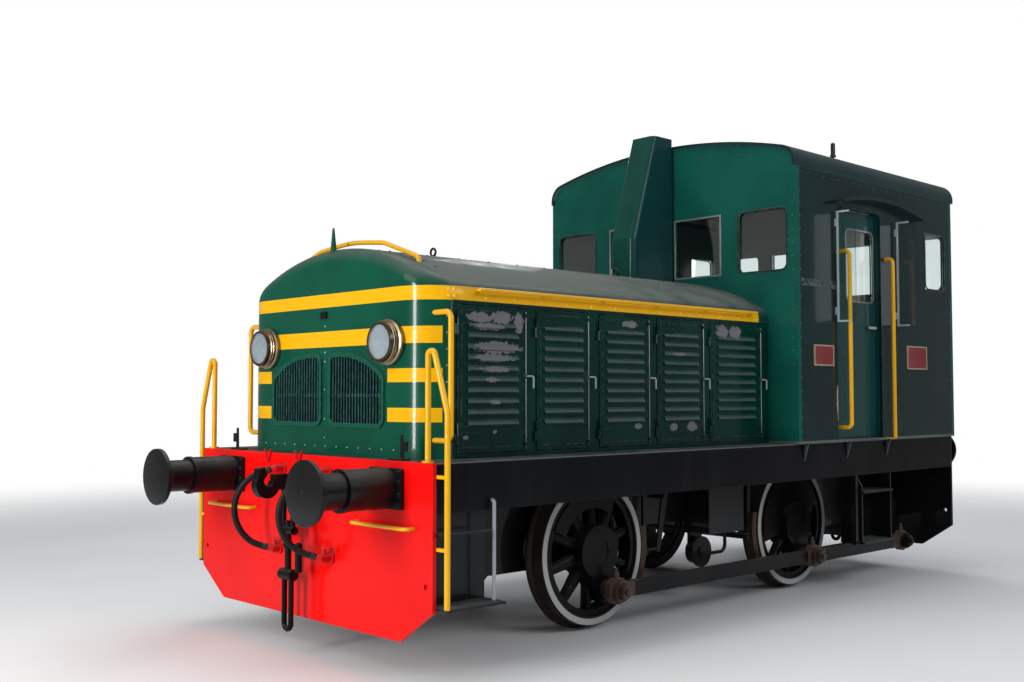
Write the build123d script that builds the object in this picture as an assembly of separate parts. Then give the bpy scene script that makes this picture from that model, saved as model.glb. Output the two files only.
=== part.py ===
from build123d import *
import math
import os

os.makedirs("parts", exist_ok=True)

# Two-axle shunting locomotive with a jackshaft and side rods, in millimetres.
# X points forward (bonnet end), Y to the left, Z up.  Z = 0 is the lowest point of the
# wheel flanges, X = 0 is midway between the buffer faces, Y = 0 is the centre line.

# Driving dimensions: wheels and running gear
TREAD_R = 510.0             # rolling radius
FLANGE_H = 28.0             # flange height over the tread
AXLE_Z = TREAD_R + FLANGE_H
BACK_TO_BACK = 1360.0       # between the inner tyre faces
TYRE_W = 137.0              # tyre width
TYRE_T = 62.0               # tyre thickness at the tread
FLANGE_T = 33.0             # flange thickness
HUB_R = 183.0               # hub disc radius
HUB_FACE_Y = 880.0          # outer hub face from the centre line
RIM_T = 46.0                # wheel centre rim thickness
AXLE_R = 85.0
FRONT_AXLE_X = 1288.0
REAR_AXLE_X = -1174.0
JACK_X = -2668.0
CRANK_R = 270.0
CRANK_AFT = 16.0            # left crank angle behind bottom dead centre, degrees
SPOKES = 10
PIN_R = 46.0                # crank pin journal radius
PIN_END_Y = 1078.0          # outer end of the crank pins
ROD_Y = (930.0, 982.0)      # inner and outer face of the side rods
ROD_H = 104.0               # rod depth
ROD_HEAD_R = 92.0           # radius of the rod heads
RUN_GAP = 0.05              # running clearance on journals and hinge pins
OPEN_PIN_GAP = 0.6          # clearance where the rod linkage is opened
SEAT = 0.3                  # seating gap between curved faces

# Driving dimensions: frame, headstocks and deck
PLATE_X = 3110.0            # outer face of the headstock plates
PLATE_T = 25.0
PLATE_HALF_W = 1285.0
PLATE_SIDE_Z = 411.0        # where the side edge ends and the corner cut starts
PLATE_LOW_Z = 214.0
PLATE_LOW_HALF_W = 993.0
DECK_Z = 1236.0             # top of the deck
DECK_T = 12.0
SILL_DEPTH = 271.0          # side channel depth
SILL_T = 14.0
SILL_FLANGE = 85.0
FRAME_Y = 585.0             # inner face of the frame plates
FRAME_T = 28.0
FRAME_LOW_Z = 430.0
FRAME_MID_Z = 640.0         # raised lower edge between the axles
HORN_HALF = 135.0           # half width of the axlebox gap
HORN_TOP_Z = 720.0

# Driving dimensions: buffers and draw gear
BUFFER_Z = 1078.0
BUFFER_Y = 875.0
BUFFER_REACH = 583.0        # buffer face ahead of the headstock
BUFFER_HEAD_R = 184.0
BUFFER_CASE_R = 120.0
BUFFER_RAM_R = 104.0
BUFFER_CASE_END = 345.0     # end of the buffer case ahead of the headstock
HOOK_Z = 1078.0
HOOK_REACH = 360.0
HOOK_HALF_T = 32.0
SHANK_Z = (HOOK_Z - 50.0, HOOK_Z + 44.0)     # lower and upper edge of the hook shank

# Driving dimensions: bonnet
BONNET_HALF_W = 1050.0
BONNET_FRONT_X = 2950.0
BONNET_NOSE_R = 300.0       # plan radius of the nose corners
BONNET_EAVE_Z = 2274.0
BONNET_CROWN_Z = 2568.0
BONNET_BROW_R = 190.0       # radius over the top of the nose
NOSE_SPLIT_X = 2765.0       # joint between nose and side frames
SHEET = 4.0                 # casing sheet
BAND_LOW_Z = 2181.0         # joint between side frames and roof
DOOR_LOW_Z = 1262.0
DOOR_TOP_Z = 2160.0
DOOR_GAP = 6.0
DOOR_RIM = 24.0             # folded rim depth of a bonnet door
# front edge and rear edge of each bonnet door opening, front to rear
BONNET_DOORS = ((2740.0, 2157.0), (2081.0, 1580.0), (1490.0, 956.0), (886.0, 335.0), (273.0, -397.0))
LOUVRES = 10
LOUVRE_PITCH = 66.0
LOUVRE_H = 38.0
LOUVRE_DEPTH = 15.0
LOUVRE_LOW_Z = 1428.0

# Driving dimensions: cab
CAB_FRONT_X = -493.0
CAB_REAR_X = -3085.0
CAB_HALF_W = 1325.0
CAB_FLOOR_T = 20.0
CAB_WALL = 40.0
CAB_ROOF_T = 28.0
ROOF_APEX_Z = 3731.0
ROOF_ARC_R = 4825.0
ROOF_CORNER_R = 150.0
ROOF_SPLIT_Z = 3400.0       # lower edge of the roof sheet on the cab sides
CAB_WINDOW_Z = (2594.0, 3086.0)
INNER_WINDOW_Y = (130.0, 603.0)
OUTER_WINDOW_Y = (775.0, 1235.0)
SIDE_WINDOW_X = (-2944.0, -2570.0)
SIDE_WINDOW_Z = (2564.0, 3070.0)
CAB_DOOR_X = (-1776.0, -1262.0)
CAB_DOOR_TOP_Z = 3150.0
CAB_DOOR_INSET = 60.0       # door face behind the cab side
CAB_DOOR_T = 36.0
CAB_DOOR_WINDOW_X = (-1753.0, -1316.0)
CAB_DOOR_WINDOW_Z = (2392.0, 2995.0)
GLASS_T = 8.0


def block(x0, x1, y0, y1, z0, z1):
    """A rectangular piece between its low and high faces."""
    size = Box(abs(x1 - x0), abs(y1 - y0), abs(z1 - z0))
    return Pos((x0 + x1) / 2, (y0 + y1) / 2, (z0 + z1) / 2) * size


def bar_x(y, z, x0, x1, r):
    """A round bar along the vehicle."""
    return Pos((x0 + x1) / 2, y, z) * Rot(0, 90, 0) * Cylinder(r, abs(x1 - x0))


def bar_y(x, z, y0, y1, r):
    """A round bar across the vehicle."""
    return Pos(x, (y0 + y1) / 2, z) * Rot(90, 0, 0) * Cylinder(r, abs(y1 - y0))


def bar_z(x, y, z0, z1, r):
    """An upright round bar."""
    return Pos(x, y, (z0 + z1) / 2) * Cylinder(r, abs(z1 - z0))


def polygon(*points):
    """A flat outline with straight sides."""
    return make_face(Polyline(*points, close=True))


def slab_x(outline, x0, x1):
    """An outline drawn in Y and Z, given a thickness along X."""
    return extrude(Plane((x0, 0, 0), x_dir=(0, 1, 0), z_dir=(1, 0, 0)) * outline, x1 - x0)


def slab_y(outline, y0, y1):
    """An outline drawn in X and Z, given a thickness along Y."""
    return extrude(Plane((0, y1, 0), x_dir=(1, 0, 0), z_dir=(0, -1, 0)) * outline, y1 - y0)


def slab_z(outline, z0, z1):
    """An outline drawn in X and Y, given a thickness along Z."""
    return extrude(Plane((0, 0, z0)) * outline, z1 - z0)


def bent_bar(points, r, bends):
    """A round bar bent along straight runs."""
    path = FilletPolyline(*points, radius=bends)
    return sweep(Plane(path @ 0, z_dir=path % 0) * Circle(r), path=path)


def other_side(piece):
    """The same piece on the right-hand side."""
    return mirror(piece, about=Plane.XZ)


def other_end(piece):
    """The same piece at the rear end."""
    return mirror(piece, about=Plane.YZ)


def write(name, *items):
    """Store one named piece, or like pieces that share a name."""
    solids = [solid for item in items for solid in item.solids()]
    export_step(solids[0] if len(solids) == 1 else Compound(solids), f"parts/{name}.step")


# Wheelsets: forged axles, spoked centres with crank bosses, and shrunk-on tyres
BACK_Y = BACK_TO_BACK / 2
TYRE_FACE_Y = BACK_Y + TYRE_W
TYRE_IN_R = TREAD_R - TYRE_T
RIM_Y = (BACK_Y + 12, TYRE_FACE_Y - 14)
HUB_IN_Y = BACK_Y - 8
FLANGE_TIP_R = 20.0
# half angle and inner radius of the balance weights
WEIGHTS = {"front": (50.0, HUB_R + 112.0), "rear": (85.0, HUB_R - 10.0)}
CRANK_LEFT = CRANK_AFT
CRANK_RIGHT = CRANK_AFT + 90.0


def tyre():
    """The tyre of a left wheel about the Y axis, with its flange on the inside."""
    tip = FLANGE_TIP_R + SEAT
    side = FLANGE_T / 2
    lift = math.sqrt(FLANGE_TIP_R**2 - side**2)
    tip_low = TREAD_R + FLANGE_H - FLANGE_TIP_R + lift
    outline = make_face([
        Line((TYRE_IN_R, BACK_Y), (tip_low, BACK_Y)),
        ThreePointArc((tip_low, BACK_Y), (TREAD_R + FLANGE_H, BACK_Y + side), (tip_low, BACK_Y + FLANGE_T)),
        Line((tip_low, BACK_Y + FLANGE_T), (TREAD_R, BACK_Y + FLANGE_T + tip / 2)),
        Line((TREAD_R, BACK_Y + FLANGE_T + tip / 2), (TREAD_R - 4, TYRE_FACE_Y - 6)),
        Line((TREAD_R - 4, TYRE_FACE_Y - 6), (TREAD_R - 10, TYRE_FACE_Y)),
        Line((TREAD_R - 10, TYRE_FACE_Y), (TYRE_IN_R, TYRE_FACE_Y)),
        Line((TYRE_IN_R, TYRE_FACE_Y), (TYRE_IN_R, BACK_Y)),
    ])
    return revolve(outline, axis=Axis.Y)


def ring_y(r_in, r_out, y0, y1):
    """A ring about the Y axis."""
    return bar_y(0, 0, y0, y1, r_out) - bar_y(0, 0, y0 - 1, y1 + 1, r_in)


def wheel_centre(end_name, crank_angle):
    """The spoked centre of a left wheel about the Y axis, with crank boss and balance weight."""
    rim_in = TYRE_IN_R - SEAT - RIM_T
    middle = (RIM_Y[0] + RIM_Y[1]) / 2
    rim = ring_y(rim_in, TYRE_IN_R - SEAT, *RIM_Y)
    hub = bar_y(0, 0, HUB_IN_Y, HUB_FACE_Y, HUB_R)
    spoke = loft([
        Plane((0, middle + 18, HUB_R - 25)) * RectangleRounded(78, 92, 24),
        Plane((0, middle, rim_in + 12)) * RectangleRounded(56, 66, 20),
    ])
    spokes = [Rot(0, 360 / SPOKES * (n + 0.5), 0) * spoke for n in range(SPOKES)]
    half_angle, weight_in = WEIGHTS[end_name]
    weight_out = rim_in + 10
    back, face = RIM_Y[0] + 6, RIM_Y[1] + 10
    section = polygon((weight_in, back), (weight_out, back), (weight_out, face), (weight_in, face))
    weight = revolve(section, axis=Axis.Y, revolution_arc=2 * half_angle)
    weight = Rot(0, -90 - half_angle, 0) * weight
    boss_outline = make_hull((Circle(HUB_R - 40).edges() + (Pos(0, -CRANK_R) * Circle(96)).edges()))
    boss = slab_y(boss_outline, RIM_Y[0] + 40, HUB_FACE_Y - 14)
    body = rim + [hub, weight, boss] + spokes
    body = body - bar_y(0, 0, HUB_IN_Y - 1, HUB_FACE_Y + 1, AXLE_R + SEAT)
    body = body - Pos(0, 0, -CRANK_R) * bar_y(0, 0, RIM_Y[0], HUB_FACE_Y + 1, PIN_R + SEAT)
    return Rot(0, crank_angle, 0) * body


def crank_pin(crank_angle):
    """A crank pin of a left wheel about the Y axis, with collar, washer and nut."""
    pin = bar_y(0, 0, RIM_Y[0] + 60, PIN_END_Y - 18, PIN_R)
    pin = pin + bar_y(0, 0, HUB_FACE_Y - 14 + SEAT, ROD_Y[0] - 22, PIN_R + 20)
    washer = bar_y(0, 0, ROD_Y[1] + 22, ROD_Y[1] + 40, PIN_R + 26)
    nut = slab_y(RegularPolygon(PIN_R + 12, 6), ROD_Y[1] + 40, PIN_END_Y - 26)
    end = bar_y(0, 0, PIN_END_Y - 26, PIN_END_Y, 24)
    return Rot(0, crank_angle, 0) * Pos(0, 0, -CRANK_R) * (pin + [washer, nut, end])


def wheelset(end_name, axle_x):
    """One wheelset: axle, two centres, two tyres and two crank pins."""
    place = Pos(axle_x, 0, AXLE_Z)
    axle = bar_y(0, 0, -HUB_FACE_Y + 6, HUB_FACE_Y - 6, AXLE_R)
    centres = [wheel_centre(end_name, CRANK_LEFT), other_side(wheel_centre(end_name, CRANK_RIGHT))]
    write(f"{end_name}_axle_and_centres", *[place * piece for piece in (axle, *centres)])
    write(f"{end_name}_tyres", place * tyre(), place * other_side(tyre()))
    write(f"{end_name}_crank_pins", place * crank_pin(CRANK_LEFT), place * other_side(crank_pin(CRANK_RIGHT)))


wheelset("front", FRONT_AXLE_X)
wheelset("rear", REAR_AXLE_X)


# Jackshaft: shaft in the frame plates, with a crank web at each end
JACK_SHAFT_R = 80.0
WEB_Y = (838.0, HUB_FACE_Y)


def jack_web(crank_angle):
    """A left crank web with its balance weight, about the Y axis."""
    arm = make_hull((Circle(118).edges() + (Pos(0, -CRANK_R) * Circle(88)).edges()))
    weight = make_hull(((Pos(0, 60) * Circle(150)).edges() + Circle(118).edges()))
    web = slab_y(arm, *WEB_Y) + slab_y(weight, *WEB_Y)
    web = web - Pos(0, 0, -CRANK_R) * bar_y(0, 0, WEB_Y[0] - 1, WEB_Y[1] + 1, PIN_R + SEAT)
    return Rot(0, crank_angle, 0) * web


def jack_pin(crank_angle):
    """A left jackshaft crank pin, about the Y axis."""
    pin = bar_y(0, 0, WEB_Y[0], PIN_END_Y - 18, PIN_R)
    collar = bar_y(0, 0, HUB_FACE_Y + SEAT, ROD_Y[0] - 22, PIN_R + 20)
    washer = bar_y(0, 0, ROD_Y[1] + 22, ROD_Y[1] + 40, PIN_R + 26)
    nut = slab_y(RegularPolygon(PIN_R + 12, 6), ROD_Y[1] + 40, PIN_END_Y - 26)
    end = bar_y(0, 0, PIN_END_Y - 26, PIN_END_Y, 24)
    return Rot(0, crank_angle, 0) * Pos(0, 0, -CRANK_R) * (pin + [collar, washer, nut, end])


jack_place = Pos(JACK_X, 0, AXLE_Z)
jack_webs = [jack_web(CRANK_LEFT), other_side(jack_web(CRANK_RIGHT))]
jack_body = bar_y(0, 0, -WEB_Y[0] - 1, WEB_Y[0] + 1, JACK_SHAFT_R) + jack_webs
jack_pins = [jack_pin(CRANK_LEFT), other_side(jack_pin(CRANK_RIGHT))]
write("jackshaft", *[jack_place * piece for piece in (jack_body, *jack_pins)])


# Side rods: a coupling rod between the wheels and a jack rod behind it, joined by a knuckle
KNUCKLE_BACK = 185.0        # knuckle behind the rear crank pin
KNUCKLE_R = 56.0
TONGUE_Y = (ROD_Y[0] + 15, ROD_Y[1] - 15)
KNUCKLE_PIN_R = 20.0


def rod_bar(x0, x1):
    """The straight part of a rod at axle height."""
    return block(x0, x1, ROD_Y[0], ROD_Y[1], -ROD_H / 2, ROD_H / 2)


def rod_head(x, gap):
    """A rod head with its bush and oil cup, before and after boring."""
    head = bar_y(x, 0, ROD_Y[0], ROD_Y[1], ROD_HEAD_R)
    bush = bar_y(x, 0, ROD_Y[0] - 16, ROD_Y[1] + 16, PIN_R + 18)
    middle = (ROD_Y[0] + ROD_Y[1]) / 2
    cup = bar_z(x, middle, ROD_HEAD_R - 12, ROD_HEAD_R + 34, 20)
    cup = cup + bar_z(x, middle, ROD_HEAD_R + 34, ROD_HEAD_R + 62, 12)
    return head + [bush, cup], bar_y(x, 0, ROD_Y[0] - 20, ROD_Y[1] + 20, PIN_R + gap)


def side_rods(side_name, crank_angle, turn_over):
    """The rods of one side, set at the height of the crank pins."""
    pin_dx = -CRANK_R * math.sin(math.radians(crank_angle))
    pin_dz = -CRANK_R * math.cos(math.radians(crank_angle))
    place = Pos(pin_dx, 0, AXLE_Z + pin_dz)
    knuckle_x = REAR_AXLE_X - KNUCKLE_BACK
    front, front_bore = rod_head(FRONT_AXLE_X, RUN_GAP)
    rear, rear_bore = rod_head(REAR_AXLE_X, OPEN_PIN_GAP)
    tongue = block(knuckle_x, REAR_AXLE_X, *TONGUE_Y, -KNUCKLE_R, KNUCKLE_R)
    tongue = tongue + bar_y(knuckle_x, 0, *TONGUE_Y, KNUCKLE_R)
    rod = front + [rear, rod_bar(REAR_AXLE_X, FRONT_AXLE_X), tongue]
    rod = rod - front_bore - rear_bore - bar_y(knuckle_x, 0, ROD_Y[0], ROD_Y[1], KNUCKLE_PIN_R + SEAT)
    jack, jack_bore = rod_head(JACK_X, OPEN_PIN_GAP)
    fork = block(JACK_X, knuckle_x, *ROD_Y, -KNUCKLE_R, KNUCKLE_R) + bar_y(knuckle_x, 0, *ROD_Y, KNUCKLE_R)
    reach = KNUCKLE_R + 8
    slot = block(knuckle_x - reach, knuckle_x + reach, TONGUE_Y[0] - SEAT, TONGUE_Y[1] + SEAT, -100, 100)
    knuckle_pin = bar_y(knuckle_x, 0, ROD_Y[0] - 6, ROD_Y[1] + 6, KNUCKLE_PIN_R)
    fork = fork - slot + knuckle_pin
    jack_rod = jack + fork - jack_bore
    pieces = [place * rod, place * jack_rod]
    if turn_over:
        pieces = [other_side(piece) for piece in pieces]
    write(f"side_rods_{side_name}", *pieces)


side_rods("left", CRANK_LEFT, False)
side_rods("right", CRANK_RIGHT, True)


# Main frame: two plates inside the wheels, tied by cross stretchers
AXLES_X = (FRONT_AXLE_X, REAR_AXLE_X)
FRAME_END_X = PLATE_X - PLATE_T
FRAME_TOP_Z = DECK_Z - DECK_T
FRAME_OUT_Y = FRAME_Y + FRAME_T
STRETCHERS = ((2560.0, 330.0), (-560.0, 260.0), (-2120.0, 300.0))   # centre X and height


def frame_plate():
    """The left frame plate with its axlebox gaps and jackshaft bearing hole."""
    raised = (REAR_AXLE_X + 420.0, FRONT_AXLE_X - 420.0)
    plate = slab_y(polygon(
        (-FRAME_END_X, FRAME_TOP_Z), (FRAME_END_X, FRAME_TOP_Z), (FRAME_END_X, 700.0), (2960.0, FRAME_LOW_Z),
        (raised[1], FRAME_LOW_Z), (raised[1] - 120, FRAME_MID_Z), (raised[0] + 120, FRAME_MID_Z),
        (raised[0], FRAME_LOW_Z), (-2960.0, FRAME_LOW_Z), (-FRAME_END_X, 700.0),
    ), FRAME_Y, FRAME_OUT_Y)
    for axle_x in AXLES_X:
        horn_x = (axle_x - HORN_HALF, axle_x + HORN_HALF)
        plate = plate - block(*horn_x, FRAME_Y - 1, FRAME_OUT_Y + 1, 0, HORN_TOP_Z)
    return plate - bar_y(JACK_X, AXLE_Z, FRAME_Y - 1, FRAME_OUT_Y + 1, JACK_SHAFT_R + RUN_GAP)


frame = frame_plate() + other_side(frame_plate())
for stretcher_x, stretcher_h in STRETCHERS:
    web_x = (stretcher_x - 10, stretcher_x + 10)
    web_top = FRAME_TOP_Z - 20
    frame = frame + block(*web_x, -FRAME_Y - 1, FRAME_Y + 1, web_top - stretcher_h, web_top)
write("main_frame", frame)

keeper = block(-HORN_HALF - 60, HORN_HALF + 60, FRAME_Y, FRAME_OUT_Y, FRAME_LOW_Z - 38, FRAME_LOW_Z)
keepers = [Pos(x, 0, 0) * piece for x in AXLES_X for piece in (keeper, other_side(keeper))]

# Axleboxes in the horn gaps, each carrying a laminated spring on its back
BOX_Y = (FRAME_Y - 75.0, FRAME_OUT_Y + 22.0)
LEAVES = 6
LEAF_T = 13.0
LEAF_HALF_L = 460.0         # half length of the longest leaf
LEAF_STEP = 66.0            # each leaf below is shorter by this at either end
LEAF_ARC_R = 2600.0
LEAF_Y = (FRAME_Y - 72.0, FRAME_Y - 8.0)


def axlebox(axle_x):
    """A left axlebox: a grooved block that slides in the horn gap."""
    low, high = FRAME_LOW_Z + 4, HORN_TOP_Z - 30
    half, lip_half = HORN_HALF - SEAT, HORN_HALF + 24
    box = block(axle_x - half, axle_x + half, *BOX_Y, low, high)
    lips = block(axle_x - lip_half, axle_x + lip_half, *BOX_Y, low, high)
    lips = lips - block(axle_x - 400, axle_x + 400, FRAME_Y - SEAT, FRAME_OUT_Y + SEAT, 0, HORN_TOP_Z)
    return box + lips - bar_y(axle_x, AXLE_Z, BOX_Y[0] - 1, BOX_Y[1] + 1, AXLE_R + RUN_GAP)


def leaf_spring(axle_x):
    """A left laminated spring, its buckle standing on the axlebox and its ends on hangers."""
    seat_z = HORN_TOP_Z - 30
    buckle_top = seat_z + 30 + LEAVES * LEAF_T
    spring = block(axle_x - 45, axle_x + 45, LEAF_Y[0] - 4, LEAF_Y[1] + 4, seat_z, buckle_top)
    for n in range(LEAVES):
        half = LEAF_HALF_L - (LEAVES - 1 - n) * LEAF_STEP
        low = seat_z + 18 + n * LEAF_T
        rise = half**2 / (2 * LEAF_ARC_R)
        under = ThreePointArc((axle_x - half, low + rise), (axle_x, low), (axle_x + half, low + rise))
        over = Pos(0, LEAF_T) * under
        leaf = make_face([under, Line(under @ 1, over @ 1), over, Line(over @ 0, under @ 0)])
        spring = spring + slab_y(leaf, *LEAF_Y)
    for side in (-1, 1):
        end_x = axle_x + side * (LEAF_HALF_L - 12)
        middle = sum(LEAF_Y) / 2
        spring = spring + block(end_x - 22, end_x + 22, LEAF_Y[0], FRAME_Y, 968, 1010)
        spring = spring + bar_z(end_x, middle, seat_z + 90, 990, 14)
    return spring


boxes = [axlebox(x) for x in AXLES_X]
write("axleboxes", *boxes, *[other_side(piece) for piece in boxes], *keepers)
springs = [leaf_spring(x) for x in AXLES_X]
write("leaf_springs", *springs, *[other_side(piece) for piece in springs])


# Headstock plates with cut lower corners, and the deck and side sills between them
CORNER_HOLE = (1225.0, 549.0, 16.0)     # across, height and radius


def headstock():
    """The front headstock plate."""
    left = [(PLATE_HALF_W, DECK_Z), (PLATE_HALF_W, PLATE_SIDE_Z), (PLATE_LOW_HALF_W, PLATE_LOW_Z)]
    right = [(-y, z) for y, z in reversed(left)]
    plate = slab_x(polygon(*left, *right), PLATE_X - PLATE_T, PLATE_X)
    slot_y = HOOK_HALF_T + SEAT
    plate = plate - block(PLATE_X - 40, PLATE_X + 1, -slot_y, slot_y, SHANK_Z[0] - SEAT, SHANK_Z[1] + SEAT)
    hole_y, hole_z, hole_r = CORNER_HOLE
    for y in (-hole_y, hole_y):
        plate = plate - bar_x(y, hole_z, PLATE_X - 40, PLATE_X + 1, hole_r)
    return plate


write("front_headstock", headstock())
write("rear_headstock", other_end(headstock()))

ENGINE_WELL_X = (-420.0, 2540.0)        # opening in the deck under the engine
ENGINE_WELL_HALF_W = 450.0
deck = block(-FRAME_END_X, FRAME_END_X, -PLATE_HALF_W, PLATE_HALF_W, FRAME_TOP_Z, DECK_Z)
deck = deck - block(*ENGINE_WELL_X, -ENGINE_WELL_HALF_W, ENGINE_WELL_HALF_W, FRAME_TOP_Z - 1, DECK_Z + 1)

SILL_LOW_Z = FRAME_TOP_Z - SILL_DEPTH
GUSSETS_X = (-627.0, -1260.0, -1900.0)
GUSSET_DROP = 140.0


def side_sill():
    """The left side channel under the deck edge, with gussets below the cab overhang."""
    sill = block(-FRAME_END_X, FRAME_END_X, PLATE_HALF_W - SILL_T, PLATE_HALF_W, SILL_LOW_Z, FRAME_TOP_Z)
    flange_y = (PLATE_HALF_W - SILL_FLANGE, PLATE_HALF_W)
    for low in (SILL_LOW_Z, FRAME_TOP_Z - SILL_T):
        sill = sill + block(-FRAME_END_X, FRAME_END_X, *flange_y, low, low + SILL_T)
    for x in GUSSETS_X:
        gusset = polygon(
            (PLATE_HALF_W, DECK_Z), (CAB_HALF_W, DECK_Z), (PLATE_HALF_W - 1, DECK_Z - GUSSET_DROP),
            (PLATE_HALF_W - 1, FRAME_TOP_Z), (PLATE_HALF_W, FRAME_TOP_Z),
        )
        sill = sill + slab_x(gusset, x - 6, x + 6)
    return sill


write("deck_and_sills", deck, side_sill(), other_side(side_sill()))

# Buffers: cast case on a base plate, and a ram with a round head
BASE_SIZE = (310.0, 236.0)
BASE_CORNER_R = 18.0
BASE_T = 25.0
HEAD_T = 26.0
HEAD_DOME_R = 1600.0


def buffer_case():
    """The case of a buffer at the front, left of the centre line."""
    x = PLATE_X
    base = slab_x(Pos(BUFFER_Y, BUFFER_Z) * RectangleRounded(*BASE_SIZE, BASE_CORNER_R), x, x + BASE_T)
    case = bar_x(BUFFER_Y, BUFFER_Z, x + BASE_T - 1, x + BUFFER_CASE_END, BUFFER_CASE_R)
    lip = bar_x(BUFFER_Y, BUFFER_Z, x + BUFFER_CASE_END - 22, x + BUFFER_CASE_END, BUFFER_CASE_R + 5)
    bore = bar_x(BUFFER_Y, BUFFER_Z, x + 120, x + BUFFER_CASE_END + 1, BUFFER_RAM_R + SEAT)
    return base + [case, lip] - bore


def buffer_ram():
    """The ram and domed head of the same buffer."""
    face_x = PLATE_X + BUFFER_REACH
    sag = HEAD_DOME_R - math.sqrt(HEAD_DOME_R**2 - BUFFER_HEAD_R**2)
    half_sag = HEAD_DOME_R - math.sqrt(HEAD_DOME_R**2 - (BUFFER_HEAD_R / 2) ** 2)
    outline = make_face([
        Line((0, face_x - HEAD_T - 60), (BUFFER_RAM_R, face_x - HEAD_T - 60)),
        Line((BUFFER_RAM_R, face_x - HEAD_T - 60), (BUFFER_RAM_R + 20, face_x - HEAD_T - sag)),
        Line((BUFFER_RAM_R + 20, face_x - HEAD_T - sag), (BUFFER_HEAD_R, face_x - HEAD_T - sag)),
        Line((BUFFER_HEAD_R, face_x - HEAD_T - sag), (BUFFER_HEAD_R, face_x - sag)),
        ThreePointArc((BUFFER_HEAD_R, face_x - sag), (BUFFER_HEAD_R / 2, face_x - half_sag), (0, face_x)),
        Line((0, face_x), (0, face_x - HEAD_T - 60)),
    ])
    head = revolve(outline, axis=Axis.Y)
    head = Pos(0, BUFFER_Y, BUFFER_Z) * Rot(0, 0, -90) * head
    ram = bar_x(BUFFER_Y, BUFFER_Z, PLATE_X + 130, face_x - HEAD_T - 59, BUFFER_RAM_R)
    return ram + head


def four_corners(piece):
    """A piece and its copies at the other three corners."""
    pair = [piece, other_side(piece)]
    return pair + [other_end(item) for item in pair]


write("buffer_cases", *four_corners(buffer_case()))
write("buffer_rams", *four_corners(buffer_ram()))

# Draw hooks with screw couplings that hang from the hook shanks
EYE_X = PLATE_X + 112.0     # coupling pin through the hook shank
EYE_Z = HOOK_Z - 8.0
LINK_R = 17.0


def draw_hook():
    """The front draw hook, flat sided, with its mouth open upwards."""
    tip = PLATE_X + HOOK_REACH
    bowl = PLATE_X + HOOK_REACH - 82.0
    shank = block(PLATE_X - 150, bowl - 62, -HOOK_HALF_T, HOOK_HALF_T, *SHANK_Z)
    body = slab_y(Pos(bowl, HOOK_Z - 18) * Circle(tip - bowl), -HOOK_HALF_T, HOOK_HALF_T)
    throat = Pos(bowl - 6, HOOK_Z + 6) * Circle(34) + Pos(bowl - 22, HOOK_Z + 46) * Rectangle(58, 80)
    mouth = slab_y(throat, -60, 60)
    horn = slab_y(polygon(
        (bowl + 16, HOOK_Z + 4), (tip - 6, HOOK_Z + 4), (tip - 22, HOOK_Z + 84), (bowl + 22, HOOK_Z + 92)
    ), -HOOK_HALF_T, HOOK_HALF_T)
    return shank + body + horn - mouth - bar_y(EYE_X, EYE_Z, -60, 60, 22 + SEAT)


def screw_coupling():
    """The front coupling: eye pin, two side links, screw with a weighted lever, and the end link."""
    top_z = EYE_Z
    trunnion_z = EYE_Z - 300
    nut_z = trunnion_z - 275
    end_z = nut_z - 300
    parts = bar_y(EYE_X, EYE_Z, -HOOK_HALF_T - 30, HOOK_HALF_T + 30, 22)
    extra = []
    for side in (-1, 1):
        y = side * (HOOK_HALF_T + 20)
        extra.append(bar_z(EYE_X, y, trunnion_z, top_z, LINK_R))
        extra.append(bar_y(EYE_X, top_z, y - 14, y + 14, 34))
        extra.append(bar_z(EYE_X, side * 38, end_z, nut_z, LINK_R))
    extra.append(bar_y(EYE_X, trunnion_z, -HOOK_HALF_T - 40, HOOK_HALF_T + 40, 27))
    extra.append(bar_z(EYE_X, 0, nut_z - 30, trunnion_z + 60, 21))
    extra.append(Pos(EYE_X, 0, trunnion_z - 92) * Sphere(32))
    extra.append(bar_y(EYE_X, nut_z, -68, 68, 36))
    extra.append(bar_y(EYE_X, trunnion_z - 92, 0, 118, 13))
    extra.append(bar_z(EYE_X, 118, trunnion_z - 250, trunnion_z - 92, 22))
    extra.append(Pos(EYE_X, 118, trunnion_z - 92) * Sphere(25))
    loop = Pos(EYE_X, 0, end_z) * Rot(0, 90, 0) * Torus(38, LINK_R)
    extra.append(loop - block(EYE_X - 80, EYE_X + 80, -80, 80, end_z, end_z + 80))
    return parts + extra


write("draw_gear", *[item for piece in (draw_hook(), screw_coupling()) for item in (piece, other_end(piece))])

# Two brake hoses at the front, each hanging from a holder down to its air cock.
# Points of each hose, from the holder: ahead of the headstock plate, across, and height.
HOSE_R = 20.0
NOZZLE_L = 30.0
HOSES = {
    "brake_hose_right": (
        (78, -255, 1136), (144, -303, 1117), (210, -350, 1062), (255, -383, 980), (270, -398, 884),
        (253, -392, 788), (207, -372, 706), (143, -338, 651), (78, -294, 632),
    ),
    "brake_hose_left": (
        (78, 259, 1136), (144, 213, 1117), (213, 176, 1062), (262, 153, 980), (281, 147, 884),
        (268, 160, 788), (226, 190, 706), (160, 238, 651), (95, 292, 629),
    ),
}


def hose_tube(points):
    """A plain hose: straight runs joined by arcs as large as the runs allow."""
    runs = [Vector(*b) - Vector(*a) for a, b in zip(points, points[1:])]
    radii = []
    for before, after in zip(runs, runs[1:]):
        half_turn = math.radians(before.get_angle(after)) / 2
        radii.append(0.45 * min(before.length, after.length) / math.tan(half_turn))
    print("hose radii", [round(value) for value in radii], "length", round(sum(run.length for run in runs)))
    path = FilletPolyline(*points, radius=radii)
    return sweep(Plane(path @ 0, z_dir=path % 0) * Circle(HOSE_R), path=path)


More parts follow.
